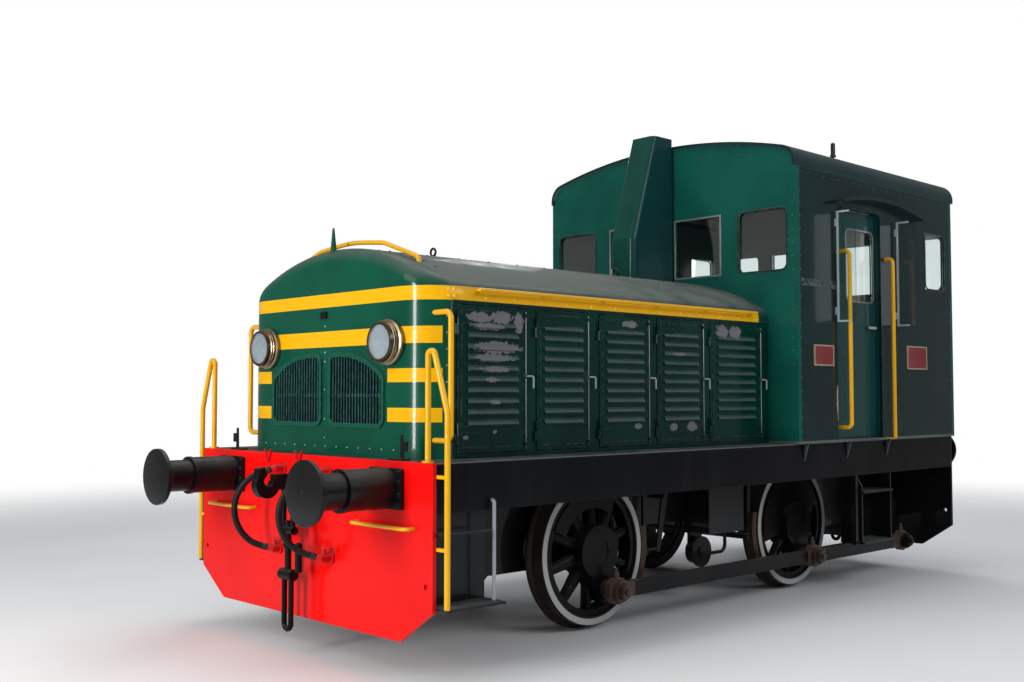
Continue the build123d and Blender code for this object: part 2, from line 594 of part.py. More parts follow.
def nozzle(end, after):
    """The pipe end that a hose is clamped on, and the point where it meets its fitting."""
    along = (Vector(*end) - Vector(*after)).normalized()
    root = Vector(*end) + along * NOZZLE_L
    plane = Plane(Vector(*end), z_dir=along)
    return extrude(plane * Circle(HOSE_R + 3), NOZZLE_L), root


def hose_fittings(points):
    """The holder at the top of a hose and the air cock at its foot."""
    holder, top = nozzle(points[0], points[1])
    arm = bar_x(top.Y, top.Z, PLATE_X, PLATE_X + 12, 38) + bar_x(top.Y, top.Z, PLATE_X + 12, top.X + 12, 24)
    cock, low = nozzle(points[-1], points[-2])
    body = bar_x(low.Y, low.Z, PLATE_X, PLATE_X + 14, 42) + bar_x(low.Y, low.Z, PLATE_X + 14, low.X + 12, 27)
    tap = bar_z(low.X - 16, low.Y, low.Z, low.Z + 58, 14)
    lever = block(low.X - 28, low.X - 4, low.Y - 12, low.Y + 84, low.Z + 58, low.Z + 70)
    return [arm + holder, body + [cock, tap, lever]]


fittings = []
for hose_name, points in HOSES.items():
    route = [(PLATE_X + ahead, y, z) for ahead, y, z in points]
    write(hose_name, hose_tube(route))
    fittings.extend(hose_fittings(route))


# Bonnet: a nose, a curved roof and two side frames, in folded sheet
BONNET_REAR_X = CAB_FRONT_X
NOSE_RIM_R = 110.0          # rounding of the bonnet's upper edge
GRILLE_Y = (57.0, 612.0)
GRILLE_Z = (1430.0, 1722.0, 1862.0)     # bottom, outer top and inner top
POST_T = 30.0


def bonnet_form(inset, low_z):
    """The bonnet's outer shape, or its hollow when inset by the sheet."""
    half = BONNET_HALF_W - inset
    front = BONNET_FRONT_X - inset
    crown = BONNET_CROWN_Z - inset
    eave = BONNET_EAVE_Z
    section = make_face([
        Line((-half, low_z), (half, low_z)),
        Line((half, low_z), (half, eave)),
        ThreePointArc((half, eave), (0, crown), (-half, eave)),
        Line((-half, eave), (-half, low_z)),
    ])
    body = slab_x(section, BONNET_REAR_X - inset, front)
    upright = body.edges().filter_by(Axis.Z).sort_by(Axis.X)[-2:]
    body = fillet(upright, BONNET_NOSE_R - inset)
    top = body.faces().filter_by(GeomType.CYLINDER).sort_by(SortBy.AREA)[-1]
    rim = [edge for edge in top.edges() if edge.center().X > BONNET_REAR_X + 1]
    return fillet(rim, NOSE_RIM_R - inset)


def grille_outline(grow):
    """One radiator opening: straight foot and a top that rises towards the centre line."""
    low, outer, inner = GRILLE_Z
    y0, y1 = GRILLE_Y
    shape = make_face([
        Line((y0, low), (y1, low)),
        Line((y1, low), (y1, outer)),
        ThreePointArc((y1, outer), (y0 + 0.56 * (y1 - y0), outer + 0.83 * (inner - outer)), (y0, inner)),
        Line((y0, inner), (y0, low)),
    ])
    shape = fillet(shape.vertices(), 48)
    return offset(shape, amount=grow) if grow else shape


shell = bonnet_form(0, DECK_Z) - bonnet_form(SHEET, DECK_Z - 50)
nose = shell & block(NOSE_SPLIT_X, BONNET_FRONT_X + 50, -1400, 1400, DECK_Z, 3000)
for side in (1, -1):
    opening = slab_x(grille_outline(0), BONNET_FRONT_X - 60, BONNET_FRONT_X + 1)
    nose = nose - (opening if side > 0 else other_side(opening))
write("bonnet_nose", nose)
write("bonnet_roof", shell & block(BONNET_REAR_X, NOSE_SPLIT_X, -1400, 1400, BAND_LOW_Z, 3000))


HINGE_Z = (1385.0, 2040.0)
HINGE_HALF_L = 62.0         # one barrel of a bonnet door hinge, above or below its middle
HINGE_R = 9.0
HINGE_Y = BONNET_HALF_W + 18.0
DOOR_FACE_Y = BONNET_HALF_W + 6.0
STRAP_L = 187.0             # hinge strap on a bonnet door
BORDER = (26.0, 34.0)       # outer and inner edge of a door's raised border, from the door's edge
LATCH_Z = 1733.0
LATCH_IN = 14.0             # spindle ahead of the door's rear edge
LATCH_BACK = 54.0           # the lever goes back by this much, over the post and clear of the next hinge
LATCH_DROP = 76.0
LATCH_R = 6.0


def side_frame():
    """The left side frame of the bonnet, with five door openings and the fixed hinge barrels."""
    frame = block(BONNET_REAR_X, NOSE_SPLIT_X, BONNET_HALF_W - POST_T, BONNET_HALF_W, DECK_Z, BAND_LOW_Z)
    for front, rear in BONNET_DOORS:
        frame = frame - block(rear, front, 900, 1100, DOOR_LOW_Z, DOOR_TOP_Z)
    for front, rear in BONNET_DOORS:
        for z in HINGE_Z:
            low = z - HINGE_HALF_L
            frame = frame + block(front, front + 20, BONNET_HALF_W - 1, HINGE_Y, low, z)
            frame = frame + bar_z(front - DOOR_GAP / 2, HINGE_Y, low, z, HINGE_R)
    return frame


write("bonnet_side_frames", side_frame(), other_side(side_frame()))


def louvres(x0, x1, face_y, low_z, count):
    """Pressed louvres in a sheet: the raised hoods, and the slots behind them."""
    lip_y = face_y + LOUVRE_DEPTH
    hood = slab_x(polygon(
        (face_y - 1, low_z + LOUVRE_H), (lip_y, low_z + 8), (lip_y, low_z), (face_y - 1, low_z),
    ), x0, x1)
    back_y, skin_y = face_y - SHEET - 2, lip_y - 3
    slot = slab_x(polygon(
        (back_y, low_z + LOUVRE_H - 4), (face_y, low_z + LOUVRE_H - 5), (skin_y, low_z + 7),
        (skin_y, low_z - 1), (face_y, low_z - 1), (face_y, low_z + 2), (back_y, low_z + 2),
    ), x0 + 4, x1 - 4)
    places = [Pos(0, 0, n * LOUVRE_PITCH) for n in range(count)]
    return [place * hood for place in places], [place * slot for place in places]


def door_latch(x):
    """The bent lever of a left bonnet door on its spindle boss."""
    y = DOOR_FACE_Y + 20
    boss = bar_y(x, LATCH_Z, DOOR_FACE_Y - 1, DOOR_FACE_Y + 10, 15)
    end_x, end_z = x - LATCH_BACK, LATCH_Z - LATCH_DROP
    lever = bent_bar([
        (x, DOOR_FACE_Y, LATCH_Z), (x, y, LATCH_Z), (end_x, y, LATCH_Z), (end_x, y, end_z),
    ], LATCH_R, [8, 14])
    return boss + lever


def bonnet_door(front, rear):
    """A left bonnet door: sheet with a folded rim and raised border, louvres, latch and hinge straps."""
    x0, x1 = rear + DOOR_GAP, front - DOOR_GAP
    z0, z1 = DOOR_LOW_Z + DOOR_GAP, DOOR_TOP_Z - DOOR_GAP
    back_y = DOOR_FACE_Y - DOOR_RIM
    door = block(x0, x1, back_y, DOOR_FACE_Y, z0, z1)
    door = door - block(x0 + SHEET, x1 - SHEET, back_y - 1, DOOR_FACE_Y - SHEET, z0 + SHEET, z1 - SHEET)
    outer, inner = BORDER
    border = block(x0 + outer, x1 - outer, DOOR_FACE_Y - 1, DOOR_FACE_Y + 3, z0 + outer, z1 - outer)
    border = border - block(x0 + inner, x1 - inner, DOOR_FACE_Y - 2, DOOR_FACE_Y + 4, z0 + inner, z1 - inner)
    margin = 0.165 * (front - rear)
    hoods, slots = louvres(x0 + margin - 18, x1 - margin + 18, DOOR_FACE_Y, LOUVRE_LOW_Z, LOUVRES)
    door = door + border + hoods - slots
    strap_x = (front - DOOR_GAP / 2 - STRAP_L, front - DOOR_GAP / 2)
    for z in HINGE_Z:
        door = door + block(*strap_x, DOOR_FACE_Y - 1, DOOR_FACE_Y + 5, z + SEAT + 4, z + 46)
        door = door + bar_z(front - DOOR_GAP / 2, HINGE_Y, z + SEAT, z + HINGE_HALF_L, HINGE_R)
    return door + door_latch(x0 + LATCH_IN)


for n, (front, rear) in enumerate(BONNET_DOORS):
    leaf = bonnet_door(front, rear)
    write(f"bonnet_door_left_{n + 1}", leaf)
    write(f"bonnet_door_right_{n + 1}", other_side(leaf))


# Radiator grilles: a moulded frame round upright bars and one cross bar, with the core behind
GRILLE_BARS = 17
GRILLE_CROSS_Z = 1613.0
GRILLE_RIM = 18.0
BAR_W = 9.0


def grille():
    """The left radiator grille."""
    x = BONNET_FRONT_X
    rim = slab_x(grille_outline(GRILLE_RIM), x + SEAT, x + 12) - slab_x(grille_outline(-8), x - 1, x + 20)
    hole = slab_x(grille_outline(-6), x - 40, x + 20)
    y0, y1 = GRILLE_Y
    step = (y1 - y0) / (GRILLE_BARS + 1)
    bars = block(x - 14, x - 2, y0, y1, GRILLE_CROSS_Z - 9, GRILLE_CROSS_Z + 9)
    for n in range(GRILLE_BARS):
        y = y0 + (n + 1) * step
        bars = bars + block(x - 16, x + 6, y - BAR_W / 2, y + BAR_W / 2, GRILLE_Z[0], GRILLE_Z[2])
    liner = slab_x(grille_outline(-SEAT), x - 18, x + 2) - slab_x(grille_outline(-8), x - 20, x + 20)
    return rim + (bars & hole) + liner


write("radiator_grilles", grille(), other_side(grille()))
core = block(BONNET_FRONT_X - 170, BONNET_FRONT_X - 90, -660, 660, DECK_Z, GRILLE_Z[2] + 40)

# Headlamps: a ribbed round case with a lens, two on the nose and two on the cab's rear wall
LAMP_Y = 682.0
LAMP_Z = 1933.0
LAMP_R = 116.0
LAMP_DEPTH = 88.0
LENS_CROWN = 9.0


def lamp_case():
    """A lamp case along X from its foot: flange, ribs, front rim and bowl."""
    rim_in, rim_out = LAMP_R - 12, LAMP_R + 4
    profile = make_face(Polyline(
        (0, 0), (126, 0), (140, 8), (140, 26), (124, 34), (124, 44), (130, 48), (124, 52), (124, 60),
        (130, 64), (124, 68), (rim_out, LAMP_DEPTH), (rim_in, LAMP_DEPTH), (rim_in, LAMP_DEPTH - 30),
        (0, LAMP_DEPTH - 50), close=True,
    ))
    return Rot(0, 0, -90) * revolve(profile, axis=Axis.Y)


def lamp_lens():
    """The slightly domed lens of such a lamp."""
    rim = LAMP_R - 12.5
    dome_r = (rim**2 + LENS_CROWN**2) / (2 * LENS_CROWN)
    half_rise = math.sqrt(dome_r**2 - (rim / 2) ** 2) - (dome_r - LENS_CROWN)
    back, edge = LAMP_DEPTH - 7, LAMP_DEPTH - 6
    profile = make_face([
        Line((0, back), (rim, back)),
        Line((rim, back), (rim, edge)),
        ThreePointArc((rim, edge), (rim / 2, edge + half_rise), (0, edge + LENS_CROWN)),
        Line((0, edge + LENS_CROWN), (0, back)),
    ])
    return Rot(0, 0, -90) * revolve(profile, axis=Axis.Y)


front_lamp = Pos(BONNET_FRONT_X, LAMP_Y, LAMP_Z)
rear_lamp = Pos(-CAB_REAR_X, LAMP_Y, LAMP_Z)
lamp_foot = bar_x(LAMP_Y, LAMP_Z, BONNET_FRONT_X - 60, BONNET_FRONT_X + 4, LAMP_R + 2)
nose_lamp = (front_lamp * lamp_case() + lamp_foot) - bonnet_form(-SEAT, DECK_Z - 50)
lamps = [nose_lamp, other_end(rear_lamp * lamp_case())]
lenses = [front_lamp * lamp_lens(), other_end(rear_lamp * lamp_lens())]
write("headlamps", *lamps, *[other_side(piece) for piece in lamps])
write("headlamp_lenses", *lenses, *[other_side(piece) for piece in lenses])

# Engine, gearbox and final drive: closed heavy masses as plain blocks
ENGINE_X = (760.0, 2380.0)
engine = block(*ENGINE_X, -400, 400, 780, 1820) + block(-380, ENGINE_X[0], -330, 330, 760, 1500)
for foot_x in (-200.0, 1000.0, 2150.0):
    engine = engine + block(foot_x - 60, foot_x + 60, -FRAME_Y, FRAME_Y, 960, 1010)
write("engine_and_radiator", engine, core)
final_drive = block(JACK_X - 330, JACK_X + 330, -360, 360, 300, 1010)
final_drive = final_drive + block(JACK_X - 80, JACK_X + 80, -FRAME_Y, FRAME_Y, 900, 960)
write("final_drive", final_drive - bar_y(JACK_X, AXLE_Z, -361, 361, JACK_SHAFT_R + RUN_GAP))

# Exhaust duct on the cab front: upright above the bonnet, then sloping back to its mouth
DUCT_HALF_W = 128.0
DUCT_TOP_Z = 3790.0
DUCT_TOP_X = -222.0
DUCT_KNEE = (52.0, 2900.0)
DUCT_STANDOFF = 32.0        # free space between duct and cab front
DUCT_EDGE_R = 50.0
DUCT_WALL = 16.0
duct_back_x = CAB_FRONT_X + DUCT_STANDOFF
duct_low_z = BONNET_CROWN_Z - 40
duct = slab_y(polygon(
    (duct_back_x, duct_low_z), (DUCT_KNEE[0], duct_low_z), DUCT_KNEE,
    (DUCT_TOP_X, DUCT_TOP_Z), (duct_back_x, DUCT_TOP_Z),
), -DUCT_HALF_W, DUCT_HALF_W)
side_edges = [edge for edge in duct.edges() if abs(edge.center().Y) > DUCT_HALF_W - 1]
front_edges = [edge for edge in side_edges if edge.center().X > duct_back_x + 1]
front_edges = [edge for edge in front_edges if duct_low_z + 5 < edge.center().Z < DUCT_TOP_Z - 5]
duct = fillet(front_edges, DUCT_EDGE_R) - bonnet_form(-SEAT, DECK_Z)
mouth_x = (duct_back_x + DUCT_WALL, DUCT_TOP_X - DUCT_WALL)
mouth_half = DUCT_HALF_W - DUCT_WALL
duct = duct - block(*mouth_x, -mouth_half, mouth_half, DUCT_TOP_Z - 120, DUCT_TOP_Z + 1)
duct = duct + block(CAB_FRONT_X, duct_back_x + 1, -60, 60, 2700, 3300)
write("exhaust_duct", duct)


# Cab: floor, four walls with window openings, roof sheet, glass, doors
WALL_LOW_Z = DECK_Z + CAB_FLOOR_T
ROOF_LIP = 18.0             # roof ahead of the cab front
ROOF_TAIL = 50.0            # roof behind the cab rear
WINDOW_R = 55.0
INNER_WINDOW_R = 12.0
RECESS_FRONT_X = -1065.0    # front edge of the door recess
JAMB_T = 26.0
DOOR_CORNER_R = 60.0        # rounded upper corners of the recess and the doorway
DOOR_FACE = CAB_HALF_W - CAB_DOOR_INSET


def cab_outline(inset, low_z):
    """The cab's cross-section: upright sides under a shallow arched roof."""
    half = CAB_HALF_W - inset
    arc_r = ROOF_ARC_R - inset
    apex = ROOF_APEX_Z - inset
    side_z = apex - (arc_r - math.sqrt(arc_r**2 - half**2))
    outline = make_face([
        Line((-half, low_z), (half, low_z)),
        Line((half, low_z), (half, side_z)),
        ThreePointArc((half, side_z), (0, apex), (-half, side_z)),
        Line((-half, side_z), (-half, low_z)),
    ])
    corners = outline.vertices().sort_by(Axis.Y)
    high = [corner for corner in corners if corner.Z > low_z + 1 or corner.Y > low_z + 1]
    return fillet(high, ROOF_CORNER_R - inset)


def window(width, height, grow, corner_r=WINDOW_R):
    """A window outline with rounded corners, larger by grow all round."""
    return RectangleRounded(width + 2 * grow, height + 2 * grow, corner_r + grow)


def end_windows(depth0, depth1, grow):
    """Solids the shape of the windows in an end wall."""
    z0, z1 = CAB_WINDOW_Z
    shapes = []
    for (y0, y1), corner_r in ((INNER_WINDOW_Y, INNER_WINDOW_R), (OUTER_WINDOW_Y, WINDOW_R)):
        outline = Pos((y0 + y1) / 2, (z0 + z1) / 2) * window(y1 - y0, z1 - z0, grow, corner_r)
        pane = slab_x(outline, depth0, depth1)
        shapes.extend([pane, other_side(pane)])
    return shapes


roof = slab_x(cab_outline(0, ROOF_SPLIT_Z), CAB_REAR_X - ROOF_TAIL, CAB_FRONT_X + ROOF_LIP)
room_under = cab_outline(CAB_ROOF_T, ROOF_SPLIT_Z - 10)
roof = roof - slab_x(room_under, CAB_REAR_X - ROOF_TAIL - 1, CAB_FRONT_X + ROOF_LIP + 1)
write("cab_roof", roof)

headroom = slab_x(cab_outline(0, WALL_LOW_Z), CAB_FRONT_X - CAB_WALL, CAB_FRONT_X)
front_wall = headroom - roof
for shape in end_windows(CAB_FRONT_X - CAB_WALL - 1, CAB_FRONT_X + 1, 0):
    front_wall = front_wall - shape
write("cab_front_wall", front_wall)
rear_wall = slab_x(cab_outline(0, WALL_LOW_Z), CAB_REAR_X, CAB_REAR_X + CAB_WALL) - roof
for shape in end_windows(CAB_REAR_X - 1, CAB_REAR_X + CAB_WALL + 1, 0):
    rear_wall = rear_wall - shape
write("cab_rear_wall", rear_wall)


def cab_side():
    """The left cab side with its recessed doorway and its window."""
    inner = CAB_HALF_W - CAB_WALL
    x0, x1 = CAB_REAR_X + CAB_WALL, CAB_FRONT_X - CAB_WALL
    door_rear, door_front = CAB_DOOR_X
    wall = block(x0, x1, inner, CAB_HALF_W, WALL_LOW_Z, ROOF_SPLIT_Z)
    deep = DOOR_FACE - CAB_DOOR_T - 4
    jamb_x = (door_rear - JAMB_T, RECESS_FRONT_X + JAMB_T)
    wall = wall + block(*jamb_x, deep, inner + 1, WALL_LOW_Z, CAB_DOOR_TOP_Z + JAMB_T)
    low, high = WALL_LOW_Z - 1, CAB_DOOR_TOP_Z
    recess = polygon((door_rear, low), (RECESS_FRONT_X, low), (RECESS_FRONT_X, high), (door_rear, high))
    recess = fillet(recess.vertices().sort_by(Axis.Y)[-2:], DOOR_CORNER_R)
    doorway = polygon((door_rear, low), (door_front, low), (door_front, high), (door_rear, high))
    doorway = fillet(doorway.vertices().group_by(Axis.Y)[-1].sort_by(Axis.X)[0], DOOR_CORNER_R)
    wall = wall - slab_y(recess, DOOR_FACE, CAB_HALF_W + 1) - slab_y(doorway, deep - 1, DOOR_FACE + 1)
    z0, z1 = SIDE_WINDOW_Z
    pane_x = sum(SIDE_WINDOW_X) / 2
    width = SIDE_WINDOW_X[1] - SIDE_WINDOW_X[0]
    return wall - slab_y(Pos(pane_x, (z0 + z1) / 2) * Rectangle(width, z1 - z0), inner - 1, CAB_HALF_W + 1)


write("cab_floor", block(CAB_REAR_X, CAB_FRONT_X, -CAB_HALF_W, CAB_HALF_W, DECK_Z, WALL_LOW_Z))


def cab_door():
    """The left cab door, set back in its doorway, with its window opening."""
    x0, x1 = CAB_DOOR_X[0] + DOOR_GAP, CAB_DOOR_X[1] - DOOR_GAP
    z0, z1 = WALL_LOW_Z + DOOR_GAP + 4, CAB_DOOR_TOP_Z - DOOR_GAP
    inner_y = DOOR_FACE - CAB_DOOR_T
    door = block(x0, x1, inner_y, DOOR_FACE, z0, z1)
    rear_top = door.edges().filter_by(Axis.Y).group_by(Axis.Z)[-1].sort_by(Axis.X)[0]
    door = fillet(rear_top, DOOR_CORNER_R - DOOR_GAP)
    wx0, wx1 = CAB_DOOR_WINDOW_X
    wz0, wz1 = CAB_DOOR_WINDOW_Z
    opening = Pos((wx0 + wx1) / 2, (wz0 + wz1) / 2) * window(wx1 - wx0, wz1 - wz0, 0)
    door = door - slab_y(opening, inner_y - 10, DOOR_FACE + 10)
    lever_y = (DOOR_FACE + 22, DOOR_FACE + 34)
    lever = block(x0 + 30, x0 + 150, *lever_y, LOCK_Z - 10, LOCK_Z + 10)
    spindle = bar_y(x0 + 42, LOCK_Z, DOOR_FACE - 1, lever_y[1], 12)
    for z in CAB_HINGE_Z:
        door = door + block(CAB_DOOR_X[1] - 70, CAB_HINGE_X, inner_y - 7, inner_y + 1, z + SEAT + 4, z + 76)
        door = door + bar_z(CAB_HINGE_X, CAB_HINGE_Y, z + SEAT, z + 80, 11)
    return door + [lever, spindle]


def cab_hinges():
    """The fixed halves of the left door's hinges, on the inner face of the recess panel."""
    low_y = DOOR_FACE - CAB_DOOR_T - 4
    pieces = []
    for z in CAB_HINGE_Z:
        leaf = block(CAB_HINGE_X + 4, CAB_HINGE_X + 60, low_y - 22, low_y, z - 80, z)
        pieces.append(leaf + bar_z(CAB_HINGE_X, CAB_HINGE_Y, z - 80, z, 11))
    return pieces


LOCK_Z = 2180.0
CAB_HINGE_Z = (1520.0, 2240.0, 2960.0)
CAB_HINGE_X = CAB_DOOR_X[1] - DOOR_GAP / 2
CAB_HINGE_Y = DOOR_FACE - CAB_DOOR_T - 15.0
write("cab_door_left", cab_door())
write("cab_door_right", other_side(cab_door()))
side_wall = cab_side() + cab_hinges()
write("cab_side_left", side_wall)
write("cab_side_right", other_side(side_wall))

# Glass in the end walls, sides and doors
GLASS_GAP = 0.4
pane_mid_front = CAB_FRONT_X - CAB_WALL / 2
panes = end_windows(pane_mid_front - GLASS_T / 2, pane_mid_front + GLASS_T / 2, -GLASS_GAP)
pane_mid_rear = CAB_REAR_X + CAB_WALL / 2
panes = panes + end_windows(pane_mid_rear - GLASS_T / 2, pane_mid_rear + GLASS_T / 2, -GLASS_GAP)
side_pane = block(
    SIDE_WINDOW_X[0] + GLASS_GAP, SIDE_WINDOW_X[1] - GLASS_GAP, CAB_HALF_W - 24, CAB_HALF_W - 24 + GLASS_T,
    SIDE_WINDOW_Z[0] + GLASS_GAP, SIDE_WINDOW_Z[1] - GLASS_GAP,
)
door_width = CAB_DOOR_WINDOW_X[1] - CAB_DOOR_WINDOW_X[0]
door_height = CAB_DOOR_WINDOW_Z[1] - CAB_DOOR_WINDOW_Z[0]
door_pane = slab_y(
    Pos(sum(CAB_DOOR_WINDOW_X) / 2, sum(CAB_DOOR_WINDOW_Z) / 2) * window(door_width, door_height, -GLASS_GAP),
    DOOR_FACE - CAB_DOOR_T / 2 - GLASS_T / 2, DOOR_FACE - CAB_DOOR_T / 2 + GLASS_T / 2,
)
write("cab_door_glass_left", door_pane)
write("cab_door_glass_right", other_side(door_pane))

# Wind deflectors beside the doorway, and the drip canopy over it
DEFLECTORS = ((-1045.0, 2200.0, 3098.0), (-2020.0, 2205.0, 3107.0))     # hinge X, bottom and top
DEFLECTOR_Y = (CAB_HALF_W + 20.0, CAB_HALF_W + 185.0)
DEFLECTOR_T = 16.0          # frame thickness, and its depth over the edge of the glass is as much less a wall
DEFLECTOR_CLIP = 110.0      # how far the frame holds the glass along its top and foot
DEFLECTOR_CORNER_R = 45.0


def deflector_glass(x, z0, z1, grow):
    """The pane of a left wind deflector with rounded outer corners, larger by grow all round."""
    y0, y1 = DEFLECTOR_Y[0] + 5 - grow, DEFLECTOR_Y[1] + grow
    low, high = z0 + 5 - grow, z1 - 5 + grow
    pane = polygon((y0, low), (y1, low), (y1, high), (y0, high))
    pane = fillet(pane.vertices().sort_by(Axis.X)[-2:], DEFLECTOR_CORNER_R)
    return slab_x(pane, x - 3 - grow, x + 3 + grow)


def deflector_frame(x, z0, z1):
    """The frame of a left wind deflector round the inner edge of its glass, on two brackets."""
    y0 = DEFLECTOR_Y[0]
    half = DEFLECTOR_T / 2
    frame = block(x - half, x + half, y0, y0 + DEFLECTOR_CLIP, z0, z1)
    frame = frame - block(x - half - 1, x + half + 1, y0 + 14, y0 + DEFLECTOR_CLIP + 1, z0 + 14, z1 - 14)
    for z in (z0 + 90, z1 - 90):
        frame = frame + block(x - half, x + half, CAB_HALF_W, y0 + 1, z - 30, z + 30)
    return frame - deflector_glass(x, z0, z1, GLASS_GAP)


frames = [deflector_frame(*row) for row in DEFLECTORS]
deflector_panes = [deflector_glass(*row, 0) for row in DEFLECTORS]
side_panes = [side_pane, *deflector_panes]
write("cab_glass", *panes, *side_panes, *[other_side(piece) for piece in side_panes])

CANOPY = ((-1040.0, 3165.0), (-1690.0, 3236.0), (-2390.0, 3150.0))      # X and height along the arch
CANOPY_OUT = 96.0
CANOPY_T = 7.0
CANOPY_LIP = 22.0           # height of the turned-up outer edge


def canopy_arch(height):
    """The arch of the canopy seen from the side, with the given height."""
    under = ThreePointArc(*CANOPY)
    over = Pos(0, height) * under
    return make_face([under, Line(under @ 1, over @ 1), over, Line(over @ 0, under @ 0)])


def canopy():
    """The left drip canopy: an arched strip standing out from the cab side, with a turned-up edge."""
    edge_y = CAB_HALF_W + CANOPY_OUT
    strip = slab_y(canopy_arch(CANOPY_T), CAB_HALF_W, edge_y)
    return strip + slab_y(canopy_arch(CANOPY_LIP), edge_y - CANOPY_T, edge_y)


shelters = [canopy(), *frames]
write("canopies_and_deflectors", *shelters, *[other_side(piece) for piece in shelters])

# Whistle on the cab roof
WHISTLE_X = -1750.0
WHISTLE_Y = 900.0
whistle_foot = ROOF_APEX_Z - (ROOF_ARC_R - math.sqrt(ROOF_ARC_R**2 - WHISTLE_Y**2))
whistle = bar_z(WHISTLE_X, WHISTLE_Y, whistle_foot - 30, whistle_foot + 60, 12)
whistle = whistle + [
    bar_z(WHISTLE_X, WHISTLE_Y, whistle_foot + 60, whistle_foot + 78, 26),
    bar_z(WHISTLE_X, WHISTLE_Y, whistle_foot + 78, whistle_foot + 170, 20),
    Pos(WHISTLE_X, WHISTLE_Y, whistle_foot + 170) * Sphere(20),
    bar_z(WHISTLE_X, WHISTLE_Y, whistle_foot - 30, whistle_foot + 6, 34),
]
whistle = whistle - slab_x(cab_outline(-SEAT, ROOF_SPLIT_Z), CAB_REAR_X, CAB_FRONT_X)


# Rails, handrails and small fittings on the bonnet and cab
RAIL_R = 17.0
CORNER_X = 3080.0
CORNER_LEG_Y = 1205.0
CORNER_POLE_Y = 1375.0
CORNER_PEAK_Z = 1862.0
CORNER_KNEE_Z = 1515.0
CORNER_BRACKETS_Z = (1160.0, 760.0)
STEP_TOP_Z = 440.0
STEP_T = 14.0


def corner_rail():
    """The left front corner rail: leg on the deck, peak, slope, and pole down to the step."""
    rail = bent_bar([
        (CORNER_X, CORNER_LEG_Y, DECK_Z + 8), (CORNER_X, CORNER_LEG_Y, CORNER_PEAK_Z),
        (CORNER_X, CORNER_LEG_Y + 52, CORNER_PEAK_Z), (CORNER_X, CORNER_POLE_Y, CORNER_KNEE_Z),
        (CORNER_X, CORNER_POLE_Y, STEP_TOP_Z),
    ], RAIL_R, [25, 25, 120])
    foot = bar_z(CORNER_X, CORNER_LEG_Y, DECK_Z, DECK_Z + 10, 34)
    bracket = block(CORNER_X - 18, CORNER_X + 5, PLATE_HALF_W, CORNER_POLE_Y, -10, 10)
    return rail + foot + [Pos(0, 0, z) * bracket for z in CORNER_BRACKETS_Z]


NOSE_POLE_X = 2840.0
NOSE_POLE_Y = 1120.0
NOSE_POLE_Z = (1347.0, 2104.0)
ARC_RAIL_X = 2760.0
SIDE_RAIL_X = (-278.0, 2596.0)
SIDE_RAIL_Y = 1098.0
SIDE_RAIL_Z = 2247.0
SIDE_RAIL_BRACKETS = 6


def nose_pole():
    """The left grab rail beside the nose corner."""
    low, high = NOSE_POLE_Z
    root_y = BONNET_HALF_W - 100
    rail = bent_bar([
        (NOSE_POLE_X, root_y, high), (NOSE_POLE_X, NOSE_POLE_Y, high),
        (NOSE_POLE_X, NOSE_POLE_Y, low), (NOSE_POLE_X, root_y, low),
    ], RAIL_R, [45, 45])
    return rail - bonnet_form(-SEAT, DECK_Z - 50)


def side_rail():
    """The long left rail along the upper edge of the bonnet side, on brackets."""
    rail = bar_x(SIDE_RAIL_Y, SIDE_RAIL_Z, *SIDE_RAIL_X, 12)
    first, last = SIDE_RAIL_X[0] + 30, SIDE_RAIL_X[1] - 30
    bracket = block(-14, 14, BONNET_HALF_W - 30, SIDE_RAIL_Y, SIDE_RAIL_Z - 5, SIDE_RAIL_Z + 5)
    for n in range(SIDE_RAIL_BRACKETS):
        rail = rail + Pos(first + n * (last - first) / (SIDE_RAIL_BRACKETS - 1), 0, 0) * bracket
    return rail - bonnet_form(-SEAT, DECK_Z - 50)


def arc_rail():
    """The curved grab rail over the bonnet, just behind the brow."""
    half = 735.0
    foot_z = BONNET_CROWN_Z - 150
    climb = [(half, foot_z - 60), (half - 24, 2470), (360, 2588)]
    across = [(-y, z) for y, z in climb] + [(0, 2622)] + climb[::-1]
    rail = bent_bar([(ARC_RAIL_X, y, z) for y, z in across], RAIL_R - 2, [50, 300, 1500, 300, 50])
    return rail - bonnet_form(-SEAT, DECK_Z - 50)


rails = [nose_pole(), side_rail()]
write("bonnet_rails", *rails, *[other_side(piece) for piece in rails], arc_rail())

HANDRAIL_Y = 1395.0
FRONT_HANDRAIL = (-1149.0, 1354.0, 2783.0)
REAR_HANDRAIL = (-1850.0, 1256.0, 2773.0)


def handrails():
    """The two left handrails beside the doorway."""
    x, low, high = FRONT_HANDRAIL
    front = bent_bar([
        (x, DOOR_FACE, high), (x, HANDRAIL_Y, high), (x, HANDRAIL_Y, low), (x, DOOR_FACE, low),
    ], RAIL_R, [40, 40])
    x, low, high = REAR_HANDRAIL
    rear = bent_bar([(x, CAB_HALF_W, high), (x, HANDRAIL_Y, high), (x, HANDRAIL_Y, low)], RAIL_R, [40])
    foot = block(x - 18, x + 18, CAB_HALF_W, HANDRAIL_Y, low - 12, low)
    return [front, rear + foot]


rails = handrails()
write("cab_handrails", *rails, *[other_side(piece) for piece in rails])

HANDLE_Y = (586.0, 1116.0)
HANDLE_Z = 862.0
HANDLE_REACH = 60.0


def plate_handle():
    """The left grab handle on the front headstock."""
    near, far = HANDLE_Y
    x = PLATE_X + HANDLE_REACH
    return bent_bar([
        (PLATE_X, near, HANDLE_Z), (x, near, HANDLE_Z), (x, far, HANDLE_Z), (PLATE_X, far, HANDLE_Z),
    ], 12, [30, 30])


write("headstock_rails", corner_rail(), other_side(corner_rail()), *four_corners(plate_handle()))

